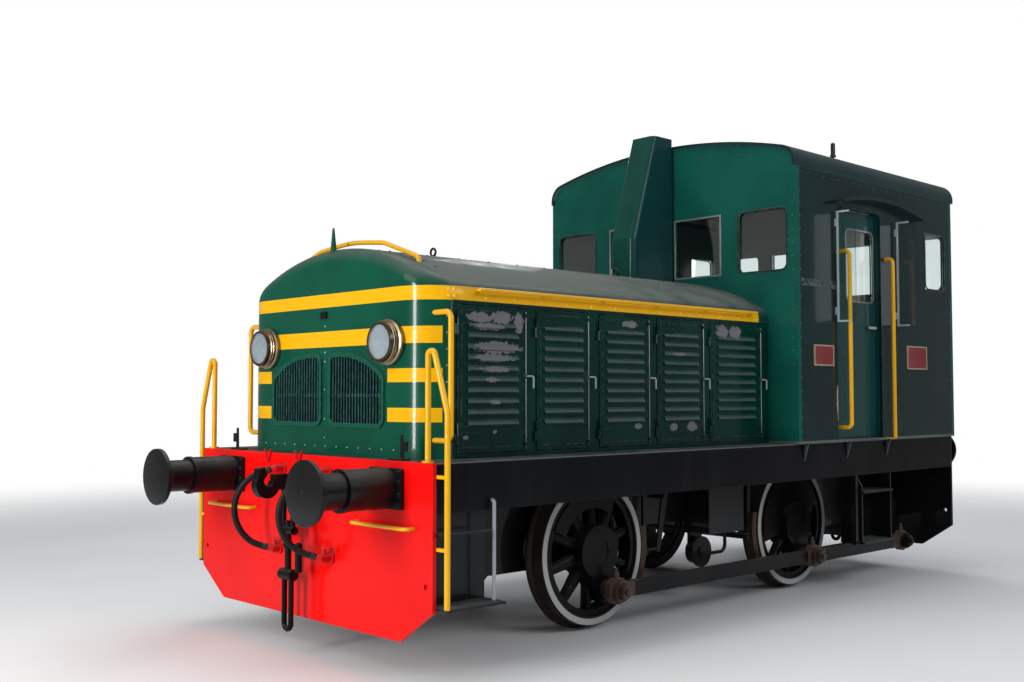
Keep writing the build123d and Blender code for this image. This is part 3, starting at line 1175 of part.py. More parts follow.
FIN_X = 2895.0
FIN_TOP_Z = 2704.0
EYES_X = (2139.0, 239.0)    # lifting eyes on the bonnet crown
EYE_RING_Y = 100.0
fin = loft([
    Plane((FIN_X, 0, BONNET_CROWN_Z - 160)) * RectangleRounded(74, 30, 12),
    Plane((FIN_X + 4, 0, FIN_TOP_Z)) * RectangleRounded(14, 10, 4),
])
lift_eye = Pos(0, EYE_RING_Y, BONNET_CROWN_Z + 34) * Rot(0, 90, 0) * Torus(26, 8)
lift_eye = lift_eye + bar_z(0, EYE_RING_Y, BONNET_CROWN_Z - 30, BONNET_CROWN_Z + 10, 20)
on_bonnet = [fin, *[Pos(x, 0, 0) * lift_eye for x in EYES_X]]
on_bonnet = [piece - bonnet_form(-SEAT, DECK_Z - 50) for piece in on_bonnet]
write("roof_and_bonnet_fittings", whistle, *on_bonnet)


LAMP_IRON_Y = 930.0
LAMP_IRON_H = 150.0
FORKS_Y = (-420.0, -55.0)   # the two hose forks on the front headstock
FORK_Z = (DECK_Z - 66.0, DECK_Z + 24.0)
FORK_SPREAD = 44.0
FORK_T = 9.0


def lamp_iron():
    """A left lamp iron at the front: a flat upright with a plate beside it, on a foot."""
    x, y = PLATE_X - 60, LAMP_IRON_Y
    top = DECK_Z + LAMP_IRON_H
    upright = slab_x(polygon((y - 14, DECK_Z), (y + 14, DECK_Z), (y + 8, top), (y - 8, top)), x - 5, x + 5)
    foot = block(x - 30, x + 30, y - 90, y + 40, DECK_Z, DECK_Z + 10)
    return upright + foot + block(x - 6, x + 6, y + 6, y + 50, DECK_Z + 52, DECK_Z + 112)


def hose_fork(y):
    """A small fork on the front plate, its two prongs spread to hold a hose that isn't in use."""
    low, high = FORK_Z
    outer = [(y - FORK_SPREAD, high), (y - FORK_T, low), (y + FORK_T, low), (y + FORK_SPREAD, high)]
    inner = [(y + FORK_SPREAD - FORK_T, high), (y, low + 2 * FORK_T), (y - FORK_SPREAD + FORK_T, high)]
    return slab_x(polygon(*outer, *inner), PLATE_X, PLATE_X + 12)


irons = [lamp_iron(), other_side(lamp_iron())]
rear_fittings = [other_end(piece) for piece in fittings]
write("headstock_fittings", *fittings, *rear_fittings, *irons, *[hose_fork(y) for y in FORKS_Y])

# Steps: hanging footboards at the front corners and step boxes under the cab
STEP_X = (2655.0, PLATE_X - PLATE_T)
STEP_Y = (1140.0, 1392.0)
HANGER_Y = PLATE_HALF_W + 11.0
HANGER_FOOT_Z = 1010.0
TIE_Z = 838.0


def front_step():
    """The left front step: footboard, back plate under the sill, rear hanger rod and its tie."""
    board = block(*STEP_X, *STEP_Y, STEP_TOP_Z - STEP_T, STEP_TOP_Z)
    back_y = PLATE_HALF_W - SILL_FLANGE
    back = block(*STEP_X, back_y, back_y + 6, STEP_TOP_Z - 2, SILL_LOW_Z)
    rod_x, rod_y = STEP_X[0] + 25, HANGER_Y + 22
    hanger = bent_bar([
        (rod_x, PLATE_HALF_W, HANGER_FOOT_Z), (rod_x, rod_y, HANGER_FOOT_Z), (rod_x, rod_y, STEP_TOP_Z - 2),
    ], 11, [18])
    tie = bar_x(rod_y, TIE_Z, rod_x, PLATE_X - PLATE_T, 8)
    lug = block(STEP_X[1] - 14, STEP_X[1], PLATE_HALF_W - 40, HANGER_Y + 34, TIE_Z - 12, TIE_Z + 12)
    return board + [back, hanger, tie, lug]


BOX_X = (-1960.0, -1475.0)
CHEEK_Y = (1090.0, 1290.0)
TREADS_Z = (815.0, 398.0)


def cab_step():
    """The left step box under the cab: two cheeks hung from the sill, a post, and two treads."""
    low = TREADS_Z[1] - 20
    near, far = CHEEK_Y
    rear = block(BOX_X[0], BOX_X[0] + 14, near, far, low, SILL_LOW_Z)
    front = slab_x(polygon(
        (near, low), (far, low), (far, TREADS_Z[0] + 40), (far - 60, SILL_LOW_Z), (near, SILL_LOW_Z),
    ), BOX_X[1] - 14, BOX_X[1])
    box = front + rear
    for z in TREADS_Z:
        box = box + block(*BOX_X, near, far + 20, z - 16, z)
    back = block(*BOX_X, near, near + 8, low, SILL_LOW_Z)
    post_y = (far - 60, far - 20)
    post = block(BOX_X[1] + 26, BOX_X[1] + 62, *post_y, low, SILL_LOW_Z)
    return box + back + post + block(BOX_X[1] - 1, BOX_X[1] + 40, *post_y, low, low + 30)


steps = [front_step(), cab_step()]
write("steps", *steps, *[other_side(piece) for piece in steps])

# Tool boxes between the wheels, air reservoir and brake gear
TOOL_BOX_X = (-430.0, 20.0)
TOOL_BOX_OUT_Y = 850.0
TOOL_BOX_Z = (545.0, 940.0)
RESERVOIR_X = -1880.0
RESERVOIR_Z = 830.0
RESERVOIR_R = 170.0
tool_box = block(*TOOL_BOX_X, FRAME_OUT_Y, TOOL_BOX_OUT_Y, *TOOL_BOX_Z)
reservoir = bar_y(RESERVOIR_X, RESERVOIR_Z, -FRAME_Y + 20, FRAME_Y - 20, RESERVOIR_R)
reservoir = fillet(reservoir.edges().filter_by(GeomType.CIRCLE), 60)
saddle = block(-60, 60, -FRAME_Y, FRAME_Y, -30, 30)
reservoir = reservoir + Pos(RESERVOIR_X, 0, RESERVOIR_Z) * saddle
write("tool_boxes_and_reservoir", tool_box, other_side(tool_box), reservoir)

SHOE_GAP = 8.0
SHOE_Y = (BACK_Y + 52, TYRE_FACE_Y - 6)
HANGER_TOP_Z = 960.0
BEAM_Z = AXLE_Z - 60.0
BEAM_BACK = 66.0            # brake beam behind the face of the shoes
LEVER_TOP_Z = 880.0


CYLINDER_X = -124.0         # brake cylinder across under the frame plate
CYLINDER_Z = 387.0
CYLINDER_R = 95.0
CYLINDER_Y = (578.0, 660.0)
PIPE_X = -520.0
LEVER_LOW_X = 515.0         # brake lever behind the front wheel, leaning back
LEVER_TOP = (440.0, 860.0)


def brake_set(axle_x, inward):
    """One wheelset's brakes: two cast shoes on hangers and the beam that joins them."""
    face_r = TREAD_R + SHOE_GAP
    arc = ring_y(face_r, face_r + 52, *SHOE_Y) & block(inward * 380, inward * 700, *SHOE_Y, -240, 130)
    shoe = Pos(axle_x, 0, AXLE_Z) * arc
    back_x = axle_x + inward * (face_r + BEAM_BACK)
    near, far = SHOE_Y
    eye = bar_y(back_x, BEAM_Z, near + 20, far - 20, 34)
    hanger = block(back_x - 18, back_x + 18, near + 34, near + 54, BEAM_Z, HANGER_TOP_Z)
    pivot = bar_y(back_x, HANGER_TOP_Z, FRAME_OUT_Y, near + 70, 24)
    shoe_x = axle_x + inward * (face_r + 20)
    link = block(back_x, shoe_x, near + 28, far - 28, BEAM_Z - 24, BEAM_Z + 24)
    side = shoe + [eye, hanger, pivot, link]
    beam = bar_y(back_x, BEAM_Z, -near - 21, near + 21, 26)
    return side + other_side(side) + beam


def brake_lever():
    """The left brake lever behind the front wheel, with its pivot on the frame and its pull rod."""
    beam_x = FRONT_AXLE_X - TREAD_R - SHOE_GAP - BEAM_BACK
    y0, y1 = SHOE_Y[0] + 10, SHOE_Y[0] + 26
    bar = make_hull((Pos(*LEVER_TOP) * Circle(30)).edges() + (Pos(LEVER_LOW_X, BEAM_Z) * Circle(22)).edges())
    pivot = bar_y(*LEVER_TOP, FRAME_OUT_Y, y1 + 10, 20)
    return slab_y(bar, y0, y1) + [pivot, bar_x((y0 + y1) / 2, BEAM_Z, LEVER_LOW_X, beam_x, 9)]


def brake_cylinder():
    """The left brake cylinder: drum with a round cover, its bracket and its pipe up to the frame."""
    y0, y1 = CYLINDER_Y
    drum = bar_y(CYLINDER_X, CYLINDER_Z, y0, y1, CYLINDER_R)
    cover = bar_y(CYLINDER_X, CYLINDER_Z, y1 - 5, y1 + 12, CYLINDER_R + 25)
    hub = bar_y(CYLINDER_X, CYLINDER_Z, y1 + 11, y1 + 30, 42)
    bracket_x = (CYLINDER_X - 75, CYLINDER_X + 75)
    bracket = block(*bracket_x, FRAME_Y, FRAME_OUT_Y, CYLINDER_Z + 60, FRAME_MID_Z)
    pipe_y, pipe_z = y0 + 22, CYLINDER_Z - 37
    pipe = bent_bar([
        (CYLINDER_X - 26, pipe_y, pipe_z), (PIPE_X, pipe_y, pipe_z), (PIPE_X, pipe_y, FRAME_MID_Z),
    ], 14, [60])
    return drum + [cover, hub, bracket, pipe]


levers = brake_lever() + other_side(brake_lever())
cylinders = [brake_cylinder(), other_side(brake_cylinder())]
write("brake_gear", brake_set(FRONT_AXLE_X, -1) + levers, brake_set(REAR_AXLE_X, 1), *cylinders)

# Cab interior that shows through the glass: control desk with a hand wheel, and a seat
DESK_Y = (-420.0, 760.0)
DESK_FRONT_X = -960.0       # the side towards the driver
DESK_TOP_Z = 2180.0
WHEEL_X = -1060.0           # hand wheel and its column
WHEEL_Y = 520.0
WHEEL_Z = 2210.0
WHEEL_R = 150.0
SEAT_X = -1850.0
SEAT_TOP_Z = 1830.0
desk = block(DESK_FRONT_X, CAB_FRONT_X - CAB_WALL, *DESK_Y, WALL_LOW_Z, DESK_TOP_Z)
desk = desk + slab_y(polygon((-1040, 2150), (-640, 2330), (-600, 2330), (-600, 2180), (-1040, 2120)), *DESK_Y)
column = bar_z(WHEEL_X, WHEEL_Y, WHEEL_Z - 310, WHEEL_Z - 10, 22)
arm = block(WHEEL_X, DESK_FRONT_X, WHEEL_Y - 20, WHEEL_Y + 20, WHEEL_Z - 310, WHEEL_Z - 250)
rim = Torus(WHEEL_R, 12)
spokes = [Box(2 * WHEEL_R - 20, 20, 14), Box(20, 2 * WHEEL_R - 20, 14)]
desk = desk + [column, arm, Pos(WHEEL_X, WHEEL_Y, WHEEL_Z) * (rim + spokes)]
cushion = Pos(SEAT_X, 0, SEAT_TOP_Z - 45) * fillet(Box(400, 400, 90).edges(), 20)
stem = bar_z(SEAT_X, 0, WALL_LOW_Z, SEAT_TOP_Z - 90, 40)
seat_foot = bar_z(SEAT_X, 0, WALL_LOW_Z, WALL_LOW_Z + 20, 180)
back_rest = block(SEAT_X - 240, SEAT_X - 190, -190, 190, SEAT_TOP_Z + 30, SEAT_TOP_Z + 420)
stay = block(SEAT_X - 225, SEAT_X - 200, -40, 40, SEAT_TOP_Z - 70, SEAT_TOP_Z + 70)
seat = cushion + [stem, seat_foot, back_rest, stay]
write("desk_and_seat", desk, seat)
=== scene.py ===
import math

import bpy
from mathutils import Matrix, Vector


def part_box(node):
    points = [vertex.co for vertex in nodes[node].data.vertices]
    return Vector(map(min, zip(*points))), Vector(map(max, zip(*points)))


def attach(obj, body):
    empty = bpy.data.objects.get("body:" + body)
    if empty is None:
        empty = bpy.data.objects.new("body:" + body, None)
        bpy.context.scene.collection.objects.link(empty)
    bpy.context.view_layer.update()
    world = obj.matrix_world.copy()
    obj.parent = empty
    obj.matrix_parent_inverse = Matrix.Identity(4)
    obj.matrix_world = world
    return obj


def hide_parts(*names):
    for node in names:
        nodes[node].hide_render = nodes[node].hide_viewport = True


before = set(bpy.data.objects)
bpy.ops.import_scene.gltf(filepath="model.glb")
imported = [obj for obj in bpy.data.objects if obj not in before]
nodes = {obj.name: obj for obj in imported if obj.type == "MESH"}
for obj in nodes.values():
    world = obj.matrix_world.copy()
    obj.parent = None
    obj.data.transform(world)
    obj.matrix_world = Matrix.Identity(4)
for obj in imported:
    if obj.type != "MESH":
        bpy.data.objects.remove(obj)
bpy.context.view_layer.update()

# The camera stands ahead of the front left buffer at a person's eye height and looks back along the
# bonnet, a little upwards, with the picture's middle at the lens axis.
CAMERA_PLACE = (7.1326, 6.1760, 1.6170)
CAMERA_YAW = math.radians(226.6)
CAMERA_PITCH = math.radians(2.7)
CAMERA_LENS = 39.98
ahead = math.cos(CAMERA_PITCH)
look = Vector((math.cos(CAMERA_YAW) * ahead, math.sin(CAMERA_YAW) * ahead, math.sin(CAMERA_PITCH)))
camera_data = bpy.data.cameras.new("camera")
camera_data.lens = CAMERA_LENS
camera_data.sensor_width = 36.0
camera_data.clip_end = 200.0
camera = bpy.data.objects.new("camera", camera_data)
camera.location = CAMERA_PLACE
camera.rotation_euler = look.to_track_quat("-Z", "Y").to_euler()
bpy.context.scene.collection.objects.link(camera)
bpy.context.scene.camera = camera


# The studio's surround: white to the camera and through glass, a paler room tone in mirrors and gloss,
# and a soft cool light from all round.
def put(tree, kind, **values):
    """Add a shader node; each value sets a property or an input, or links an output to that input."""
    node = tree.nodes.new("ShaderNode" + kind)
    for key, value in values.items():
        if key in ("a", "b"):
            socket = node.inputs["ab".index(key)]
        else:
            socket = node.inputs.get(key.replace("_", " "))
        if socket is None:
            setattr(node, key, value)
        elif isinstance(value, bpy.types.NodeSocket):
            tree.links.new(value, socket)
        else:
            socket.default_value = value
    return node


MIRRORED_TINT = (0.80, 0.78, 0.74, 1)
MIRRORED_STRENGTH = 0.30
FILL_TINT = (0.80, 0.86, 0.95, 1)
FILL_STRENGTH = 0.5
world = bpy.data.worlds.new("studio")
bpy.context.scene.world = world
world.use_nodes = True
sky = world.node_tree
sky.nodes.clear()
rays = put(sky, "LightPath")
seen = put(sky, "Math", operation="MAXIMUM", a=rays.outputs["Is Camera Ray"],
           b=rays.outputs["Is Transmission Ray"])
shown = put(sky, "Background", Color=(1, 1, 1, 1), Strength=1.0)
mirrored = put(sky, "Background", Color=MIRRORED_TINT, Strength=MIRRORED_STRENGTH)
lit = put(sky, "Background", Color=FILL_TINT, Strength=FILL_STRENGTH)
gloss = put(sky, "MixShader", Fac=rays.outputs["Is Glossy Ray"])
sky.links.new(lit.outputs[0], gloss.inputs[1])
sky.links.new(mirrored.outputs[0], gloss.inputs[2])
view = put(sky, "MixShader", Fac=seen.outputs[0])
sky.links.new(gloss.outputs[0], view.inputs[1])
sky.links.new(shown.outputs[0], view.inputs[2])
output = put(sky, "OutputWorld")
sky.links.new(view.outputs[0], output.inputs[0])

# The studio's floor: pale grey under the wheels, thinning out with distance until the white surround
# takes over, so no edge of it shows.
FLOOR_SIZE = 60.0
FLOOR_FADE = (6.5, 15.0)  # how far out it starts to thin and is gone
FLOOR_TONES = ((0.70, 0.69, 0.675, 1), (0.78, 0.77, 0.755, 1))
bpy.ops.object.select_all(action="DESELECT")
bpy.ops.mesh.primitive_plane_add(size=FLOOR_SIZE, location=(0, 0, 0))
floor = bpy.context.object
floor.name = "floor"
concrete = bpy.data.materials.new("pale_floor")
concrete.use_nodes = True
ground = concrete.node_tree
place = put(ground, "TexCoord")
mottle = put(ground, "TexNoise", Vector=place.outputs["Object"], Scale=0.9, Detail=6.0)
tint = put(ground, "MixRGB", Fac=mottle.outputs["Fac"], Color1=FLOOR_TONES[0], Color2=FLOOR_TONES[1])
surface = ground.nodes["Principled BSDF"]
surface.inputs["Roughness"].default_value = 0.7
surface.inputs["Specular IOR Level"].default_value = 0.2
ground.links.new(tint.outputs[0], surface.inputs["Base Color"])
reach = put(ground, "VectorMath", operation="LENGTH", a=place.outputs["Object"])
fade = put(ground, "MapRange", Value=reach.outputs["Value"], From_Min=FLOOR_FADE[0], From_Max=FLOOR_FADE[1],
           interpolation_type="SMOOTHSTEP", To_Min=1.0, To_Max=0.0)
ground.links.new(fade.outputs[0], surface.inputs["Alpha"])
floor.data.materials.append(concrete)

# Studio lamps: soft white panels all round, the one at the side a little cool. The tall one ahead of the
# nose draws the bright upright line on its rounded corner.
# Name, place, what it points at, width and height, power and colour
LAMPS = (
    ("tall_light", (10.4, 0.8, 2.6), (2.9, 0.9, 1.6), (1.0, 3.6), 430.0, (1.0, 1.0, 1.0)),
    ("nose_light", (9.0, -0.5, 6.5), (2.9, 0.0, 1.6), (4.0, 4.0), 160.0, (1.0, 0.985, 0.955)),
    ("side_light", (0.5, 9.5, 6.5), (0.0, 1.0, 1.2), (6.0, 4.0), 330.0, (0.92, 0.965, 1.0)),
    ("top_light", (-1.0, -1.0, 9.0), (0.0, 0.0, 2.0), (7.0, 7.0), 340.0, (1.0, 1.0, 1.0)),
    ("far_light", (-7.0, -7.0, 5.0), (-1.0, 0.0, 1.5), (4.0, 4.0), 220.0, (0.95, 0.97, 1.0)),
)
for name, spot, aim, size, power, colour in LAMPS:
    light = bpy.data.lights.new(name, "AREA")
    light.shape = "RECTANGLE"
    light.size, light.size_y = size
    light.energy = power
    light.color = colour
    lamp = bpy.data.objects.new(name, light)
    lamp.location = spot
    lamp.rotation_euler = (Vector(aim) - Vector(spot)).to_track_quat("-Z", "Y").to_euler()
    bpy.context.scene.collection.objects.link(lamp)


# Nose: welded and pressed sheet steel under several coats of gloss green, with four yellow bands. The
# top one goes round onto the bonnet sides, and the two low ones stop short of the grilles.
def effect(name, inputs, outputs):
    """Start a shader node group with named inputs (with defaults) and outputs."""
    group = bpy.data.node_groups.new(name, "ShaderNodeTree")
    for label, default in inputs:
        kind = "NodeSocketVector" if isinstance(default, tuple) else "NodeSocketFloat"
        socket = group.interface.new_socket(label, in_out="INPUT", socket_type=kind)
        socket.default_value = default
    for label in outputs:
        group.interface.new_socket(label, in_out="OUTPUT", socket_type="NodeSocketFloat")
    return group, group.nodes.new("NodeGroupInput"), group.nodes.new("NodeGroupOutput")


def ramp(tree, value, low, high):
    """Stretch a value so that low becomes 0 and high becomes 1."""
    return put(tree, "MapRange", Value=value, From_Min=low, From_Max=high,
               interpolation_type="SMOOTHSTEP").outputs[0]


def times(tree, first, second):
    """The product of two values."""
    return put(tree, "Math", operation="MULTIPLY", a=first, b=second).outputs[0]


def both_sides(tree):
    """The surface's place with left and right counted alike."""
    place = put(tree, "TexCoord")
    parts = put(tree, "SeparateXYZ", Vector=place.outputs["Object"])
    across = put(tree, "Math", operation="ABSOLUTE", a=parts.outputs["Y"])
    return put(tree, "CombineXYZ", X=parts.outputs["X"], Y=across.outputs[0], Z=parts.outputs["Z"]).outputs[0]


def use(tree, group, **values):
    """Place a shared effect in a material and return the node."""
    node = tree.nodes.new("ShaderNodeGroup")
    node.node_tree = group
    for label, value in values.items():
        if isinstance(value, bpy.types.NodeSocket):
            tree.links.new(value, node.inputs[label])
        else:
            node.inputs[label].default_value = value
    return node


dust, given, result = effect("settled_dust", [("Amount", 0.5), ("Scale", 3.0)], ["Mask"])
place = put(dust, "TexCoord")
facing = put(dust, "SeparateXYZ", Vector=place.outputs["Normal"])
cloud = put(dust, "TexNoise", Vector=place.outputs["Object"], Scale=given.outputs["Scale"], Detail=8.0,
            Roughness=0.65)
lying = times(dust, ramp(dust, facing.outputs["Z"], 0.15, 0.95), ramp(dust, cloud.outputs["Fac"], 0.15, 0.62))
dust.links.new(times(dust, lying, given.outputs["Amount"]), result.inputs["Mask"])

streak, given, result = effect("run_down_streaks", [("Amount", 0.5), ("Scale", 6.0)], ["Mask"])
place = put(streak, "TexCoord")
stretched = put(streak, "Mapping", Vector=place.outputs["Object"], Scale=(1.0, 1.0, 0.09))
lines = put(streak, "TexNoise", Vector=stretched.outputs[0], Scale=given.outputs["Scale"], Detail=7.0,
            Roughness=0.7)
runs = times(streak, ramp(streak, lines.outputs["Fac"], 0.5, 0.75), given.outputs["Amount"])
streak.links.new(runs, result.inputs["Mask"])

rub, given, result = effect("rubbed_edges", [("Amount", 0.6), ("Width", 0.006)], ["Mask"])
place = put(rub, "TexCoord")
rounded = put(rub, "Bevel", Radius=given.outputs["Width"], samples=4)
shape = put(rub, "NewGeometry")
likeness = put(rub, "VectorMath", operation="DOT_PRODUCT", a=rounded.outputs[0], b=shape.outputs["Normal"])
patchy = put(rub, "TexNoise", Vector=place.outputs["Object"], Scale=28.0, Detail=5.0)
turning = ramp(rub, likeness.outputs["Value"], 0.985, 0.80)
corner = times(rub, turning, ramp(rub, patchy.outputs["Fac"], 0.42, 0.62))
rub.links.new(times(rub, corner, given.outputs["Amount"]), result.inputs["Mask"])

flake, given, result = effect("flakes_and_spots", [("Density", 0.3), ("Scale", 18.0)], ["Mask"])
place = put(flake, "TexCoord")
islands = put(flake, "TexNoise", Vector=place.outputs["Object"], Scale=given.outputs["Scale"], Detail=9.0,
              Roughness=0.62)
level = put(flake, "Math", operation="SUBTRACT", a=0.86, b=times(flake, given.outputs["Density"], 0.36))
above = put(flake, "Math", operation="SUBTRACT", a=islands.outputs["Fac"], b=level.outputs[0])
flake.links.new(ramp(flake, above.outputs[0], -0.008, 0.008), result.inputs["Mask"])

wavy, given, result = effect("wavy_coat", [("Scale", 40.0)], ["Height", "Tone"])
place = put(wavy, "TexCoord")
peel = put(wavy, "TexNoise", Vector=place.outputs["Object"], Scale=given.outputs["Scale"], Detail=2.0)
dents = put(wavy, "TexNoise", Vector=place.outputs["Object"], Scale=2.2, Detail=3.0)
swell = times(wavy, dents.outputs["Fac"], 4.0)
wavy.links.new(put(wavy, "Math", operation="ADD", a=peel.outputs["Fac"], b=swell).outputs[0],
               result.inputs["Height"])
wavy.links.new(dents.outputs["Fac"], result.inputs["Tone"])

walls, given, result = effect("inside_box", [("Low", (0.0, 0.0, 0.0)), ("High", (1.0, 1.0, 1.0))], ["Mask"])
spot = both_sides(walls)
from_low = put(walls, "VectorMath", operation="SUBTRACT", a=spot, b=given.outputs["Low"])
from_high = put(walls, "VectorMath", operation="SUBTRACT", a=given.outputs["High"], b=spot)
least = put(walls, "VectorMath", operation="MINIMUM", a=from_low.outputs[0], b=from_high.outputs[0])
sides = put(walls, "SeparateXYZ", Vector=least.outputs[0])
flat = put(walls, "Math", operation="MINIMUM", a=sides.outputs["X"], b=sides.outputs["Y"])
nearest = put(walls, "Math", operation="MINIMUM", a=flat.outputs[0], b=sides.outputs["Z"])
walls.links.new(ramp(walls, nearest.outputs[0], 0.0, 0.0012), result.inputs["Mask"])

around, given, result = effect("distance_round", [("Centre", (0.0, 0.0, 0.0)), ("Keep", (1.0, 0.0, 1.0))],
                               ["Distance"])
away = put(around, "VectorMath", operation="SUBTRACT", a=both_sides(around), b=given.outputs["Centre"])
kept = put(around, "VectorMath", operation="MULTIPLY", a=away.outputs[0], b=given.outputs["Keep"])
length = put(around, "VectorMath", operation="LENGTH", a=kept.outputs[0])
around.links.new(length.outputs["Value"], result.inputs["Distance"])


def in_box(tree, low, high):
    """A mask that is 1 between two corners, on both sides of the vehicle."""
    return use(tree, walls, Low=low, High=high).outputs["Mask"]


def in_ring(tree, centre, keep, inner, outer):
    """A mask that is 1 between two distances from a line or point."""
    distance = use(tree, around, Centre=centre, Keep=keep).outputs["Distance"]
    return times(tree, ramp(tree, distance, inner - 0.001, inner), ramp(tree, distance, outer + 0.001, outer))


def looking(tree, axis, start, full):
    """A mask that grows with one part of the way a surface looks."""
    place = put(tree, "TexCoord")
    facing = put(tree, "SeparateXYZ", Vector=place.outputs["Normal"])
    return ramp(tree, facing.outputs[axis], start, full)


def coat(name, colour, second, roughness, gloss=0.0, dusty=0.5, streaks=0.1, rubbed=0.4, flakes=0.0,
         bare=(0.10, 0.075, 0.06, 1), dust_colour=(0.20, 0.195, 0.18, 1), wave=0.0006, metal=0.0, shine=0.15,
         zones=(), peeled=(), flake_scale=18.0):
    """A painted surface: two close tones, zones of other paint and of painted shade and highlight, dust,
    streaks, flakes and rubbed edges.
    """
    material = bpy.data.materials.new(name)
    material.use_nodes = True
    tree = material.node_tree
    skin = tree.nodes["Principled BSDF"]
    waves = use(tree, wavy)
    tone = put(tree, "MixRGB", Fac=ramp(tree, waves.outputs["Tone"], 0.35, 0.65), Color1=colour,
               Color2=second)
    for mask_of, values, paint in zones:
        tone = put(tree, "MixRGB", Fac=mask_of(tree, *values), Color1=tone.outputs[0], Color2=paint)
    density = flakes
    for centre, size in peeled:
        distance = use(tree, around, Centre=centre, Keep=tuple(1 / side for side in size)).outputs["Distance"]
        patch = times(tree, ramp(tree, distance, 1.3, 0.3), 1.5)
        density = put(tree, "Math", operation="MAXIMUM", a=density, b=patch).outputs[0]
    chipped = use(tree, flake, Density=density, Scale=flake_scale)
    chips = put(tree, "MixRGB", Fac=chipped.outputs["Mask"], Color1=tone.outputs[0], Color2=bare)
    worn = use(tree, rub, Amount=rubbed)
    edges = put(tree, "MixRGB", Fac=worn.outputs["Mask"], Color1=chips.outputs[0], Color2=bare)
    run = use(tree, streak, Amount=streaks)
    dulled = tuple(0.4 * channel for channel in dust_colour[:3]) + (1,)
    wet = put(tree, "MixRGB", Fac=run.outputs["Mask"], Color1=edges.outputs[0], Color2=dulled)
    grey = use(tree, dust, Amount=dusty)
    top = put(tree, "MixRGB", Fac=grey.outputs["Mask"], Color1=wet.outputs[0], Color2=dust_colour)
    tree.links.new(top.outputs[0], skin.inputs["Base Color"])
    matt = put(tree, "Math", operation="MAXIMUM", a=grey.outputs["Mask"], b=chipped.outputs["Mask"])
    rough = put(tree, "MapRange", Value=matt.outputs[0], To_Min=roughness, To_Max=0.8)
    tree.links.new(rough.outputs[0], skin.inputs["Roughness"])
    skin.inputs["Metallic"].default_value = metal
    skin.inputs["Specular IOR Level"].default_value = shine
    if gloss:
        lacquer = put(tree, "MapRange", Value=matt.outputs[0], To_Min=gloss, To_Max=0.0)
        tree.links.new(lacquer.outputs[0], skin.inputs["Coat Weight"])
        skin.inputs["Coat Roughness"].default_value = 0.05
    sunk = times(tree, chipped.outputs["Mask"], 0.6)
    depth = put(tree, "Math", operation="SUBTRACT", a=times(tree, waves.outputs["Height"], 0.25), b=sunk)
    bump = put(tree, "Bump", Height=depth.outputs[0], Distance=wave, Strength=0.35)
    tree.links.new(bump.outputs[0], skin.inputs["Normal"])
    return material


def dress(material, *names):
    """Give carried-over pieces a material in all their slots."""
    for name in names:
        for slot in nodes[name].material_slots:
            slot.material = material


def seat(name, origin, aim):
    """Where a line from origin along aim first meets a carried-over piece, and the way its surface looks."""
    found, spot, facing, _ = nodes[name].ray_cast(Vector(origin), Vector(aim).normalized())
    if not found:
        raise ValueError(f"nothing of {name} lies along {aim} from {origin}")
    return spot, facing


def start(name, kind, **values):
    """Add a primitive with nothing else selected."""
    bpy.ops.object.select_all(action="DESELECT")
    getattr(bpy.ops.mesh, f"primitive_{kind}_add")(**values)
    piece = bpy.context.object
    piece.name = piece.data.name = name
    return piece


def box_of(name, size):
    """Add a box with the given sides."""
    piece = start(name, "cube", size=1.0)
    piece.scale = size
    bpy.ops.object.transform_apply(scale=True)
    return piece


def move(piece, place):
    """Set a piece down at its place."""
    piece.location = place
    bpy.ops.object.transform_apply(location=True)


def pull(x, y, z):
    """Extrude the selected faces by this much."""
    bpy.ops.mesh.extrude_region_move(TRANSFORM_OT_translate={"value": (x, y, z)})


def pick(piece, wanted):
    """Enter edit mode with only those faces selected for which wanted is true."""
    bpy.ops.object.mode_set(mode="EDIT")
    bpy.ops.mesh.select_mode(type="FACE")
    bpy.ops.mesh.select_all(action="DESELECT")
    bpy.ops.object.mode_set(mode="OBJECT")
    for face in piece.data.polygons:
        face.select = wanted(face)
    bpy.ops.object.mode_set(mode="EDIT")


def soften(piece, width, segments=2):
    """Round a piece's sharp edges and shade it smooth between them."""
    bpy.ops.object.mode_set(mode="OBJECT")
    rounding = piece.modifiers.new("rounding", "BEVEL")
    rounding.width = width
    rounding.segments = segments
    rounding.limit_method = "ANGLE"
    bpy.ops.object.modifier_apply(modifier=rounding.name)
    bpy.ops.object.shade_smooth_by_angle(angle=math.radians(40))


def hand_over(piece, material, body="chassis"):
    """Give a finished piece its material and body."""
    piece.data.materials.clear()
    piece.data.materials.append(material)
    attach(piece, body)


def round_head(name, radius):
    """A low round rivet head, flat below."""
    head = start(name, "cylinder", vertices=10, radius=radius, depth=radius * 0.5,
                 location=(0, 0, radius * 0.2))
    pick(head, lambda face: face.normal.z > 0.5)
    bpy.ops.mesh.inset(thickness=radius * 0.3, depth=radius * 0.25)
    bpy.ops.mesh.inset(thickness=radius * 0.35, depth=radius * 0.1)
    bpy.ops.object.mode_set(mode="OBJECT")
    bpy.ops.object.shade_smooth_by_angle(angle=math.radians(50))
    return head


def bolt_head(name, radius):
    """A six-sided bolt head with a chamfer and the end of its shank."""
    height = radius * 0.65
    head = start(name, "cylinder", vertices=6, radius=radius, depth=height, location=(0, 0, height * 0.45))
    pick(head, lambda face: face.normal.z > 0.5)
    bpy.ops.mesh.inset(thickness=radius * 0.1, depth=radius * 0.08)
    bpy.ops.mesh.inset(thickness=radius * 0.28)
    pull(0, 0, radius * 0.2)
    bpy.ops.object.mode_set(mode="OBJECT")
    return head


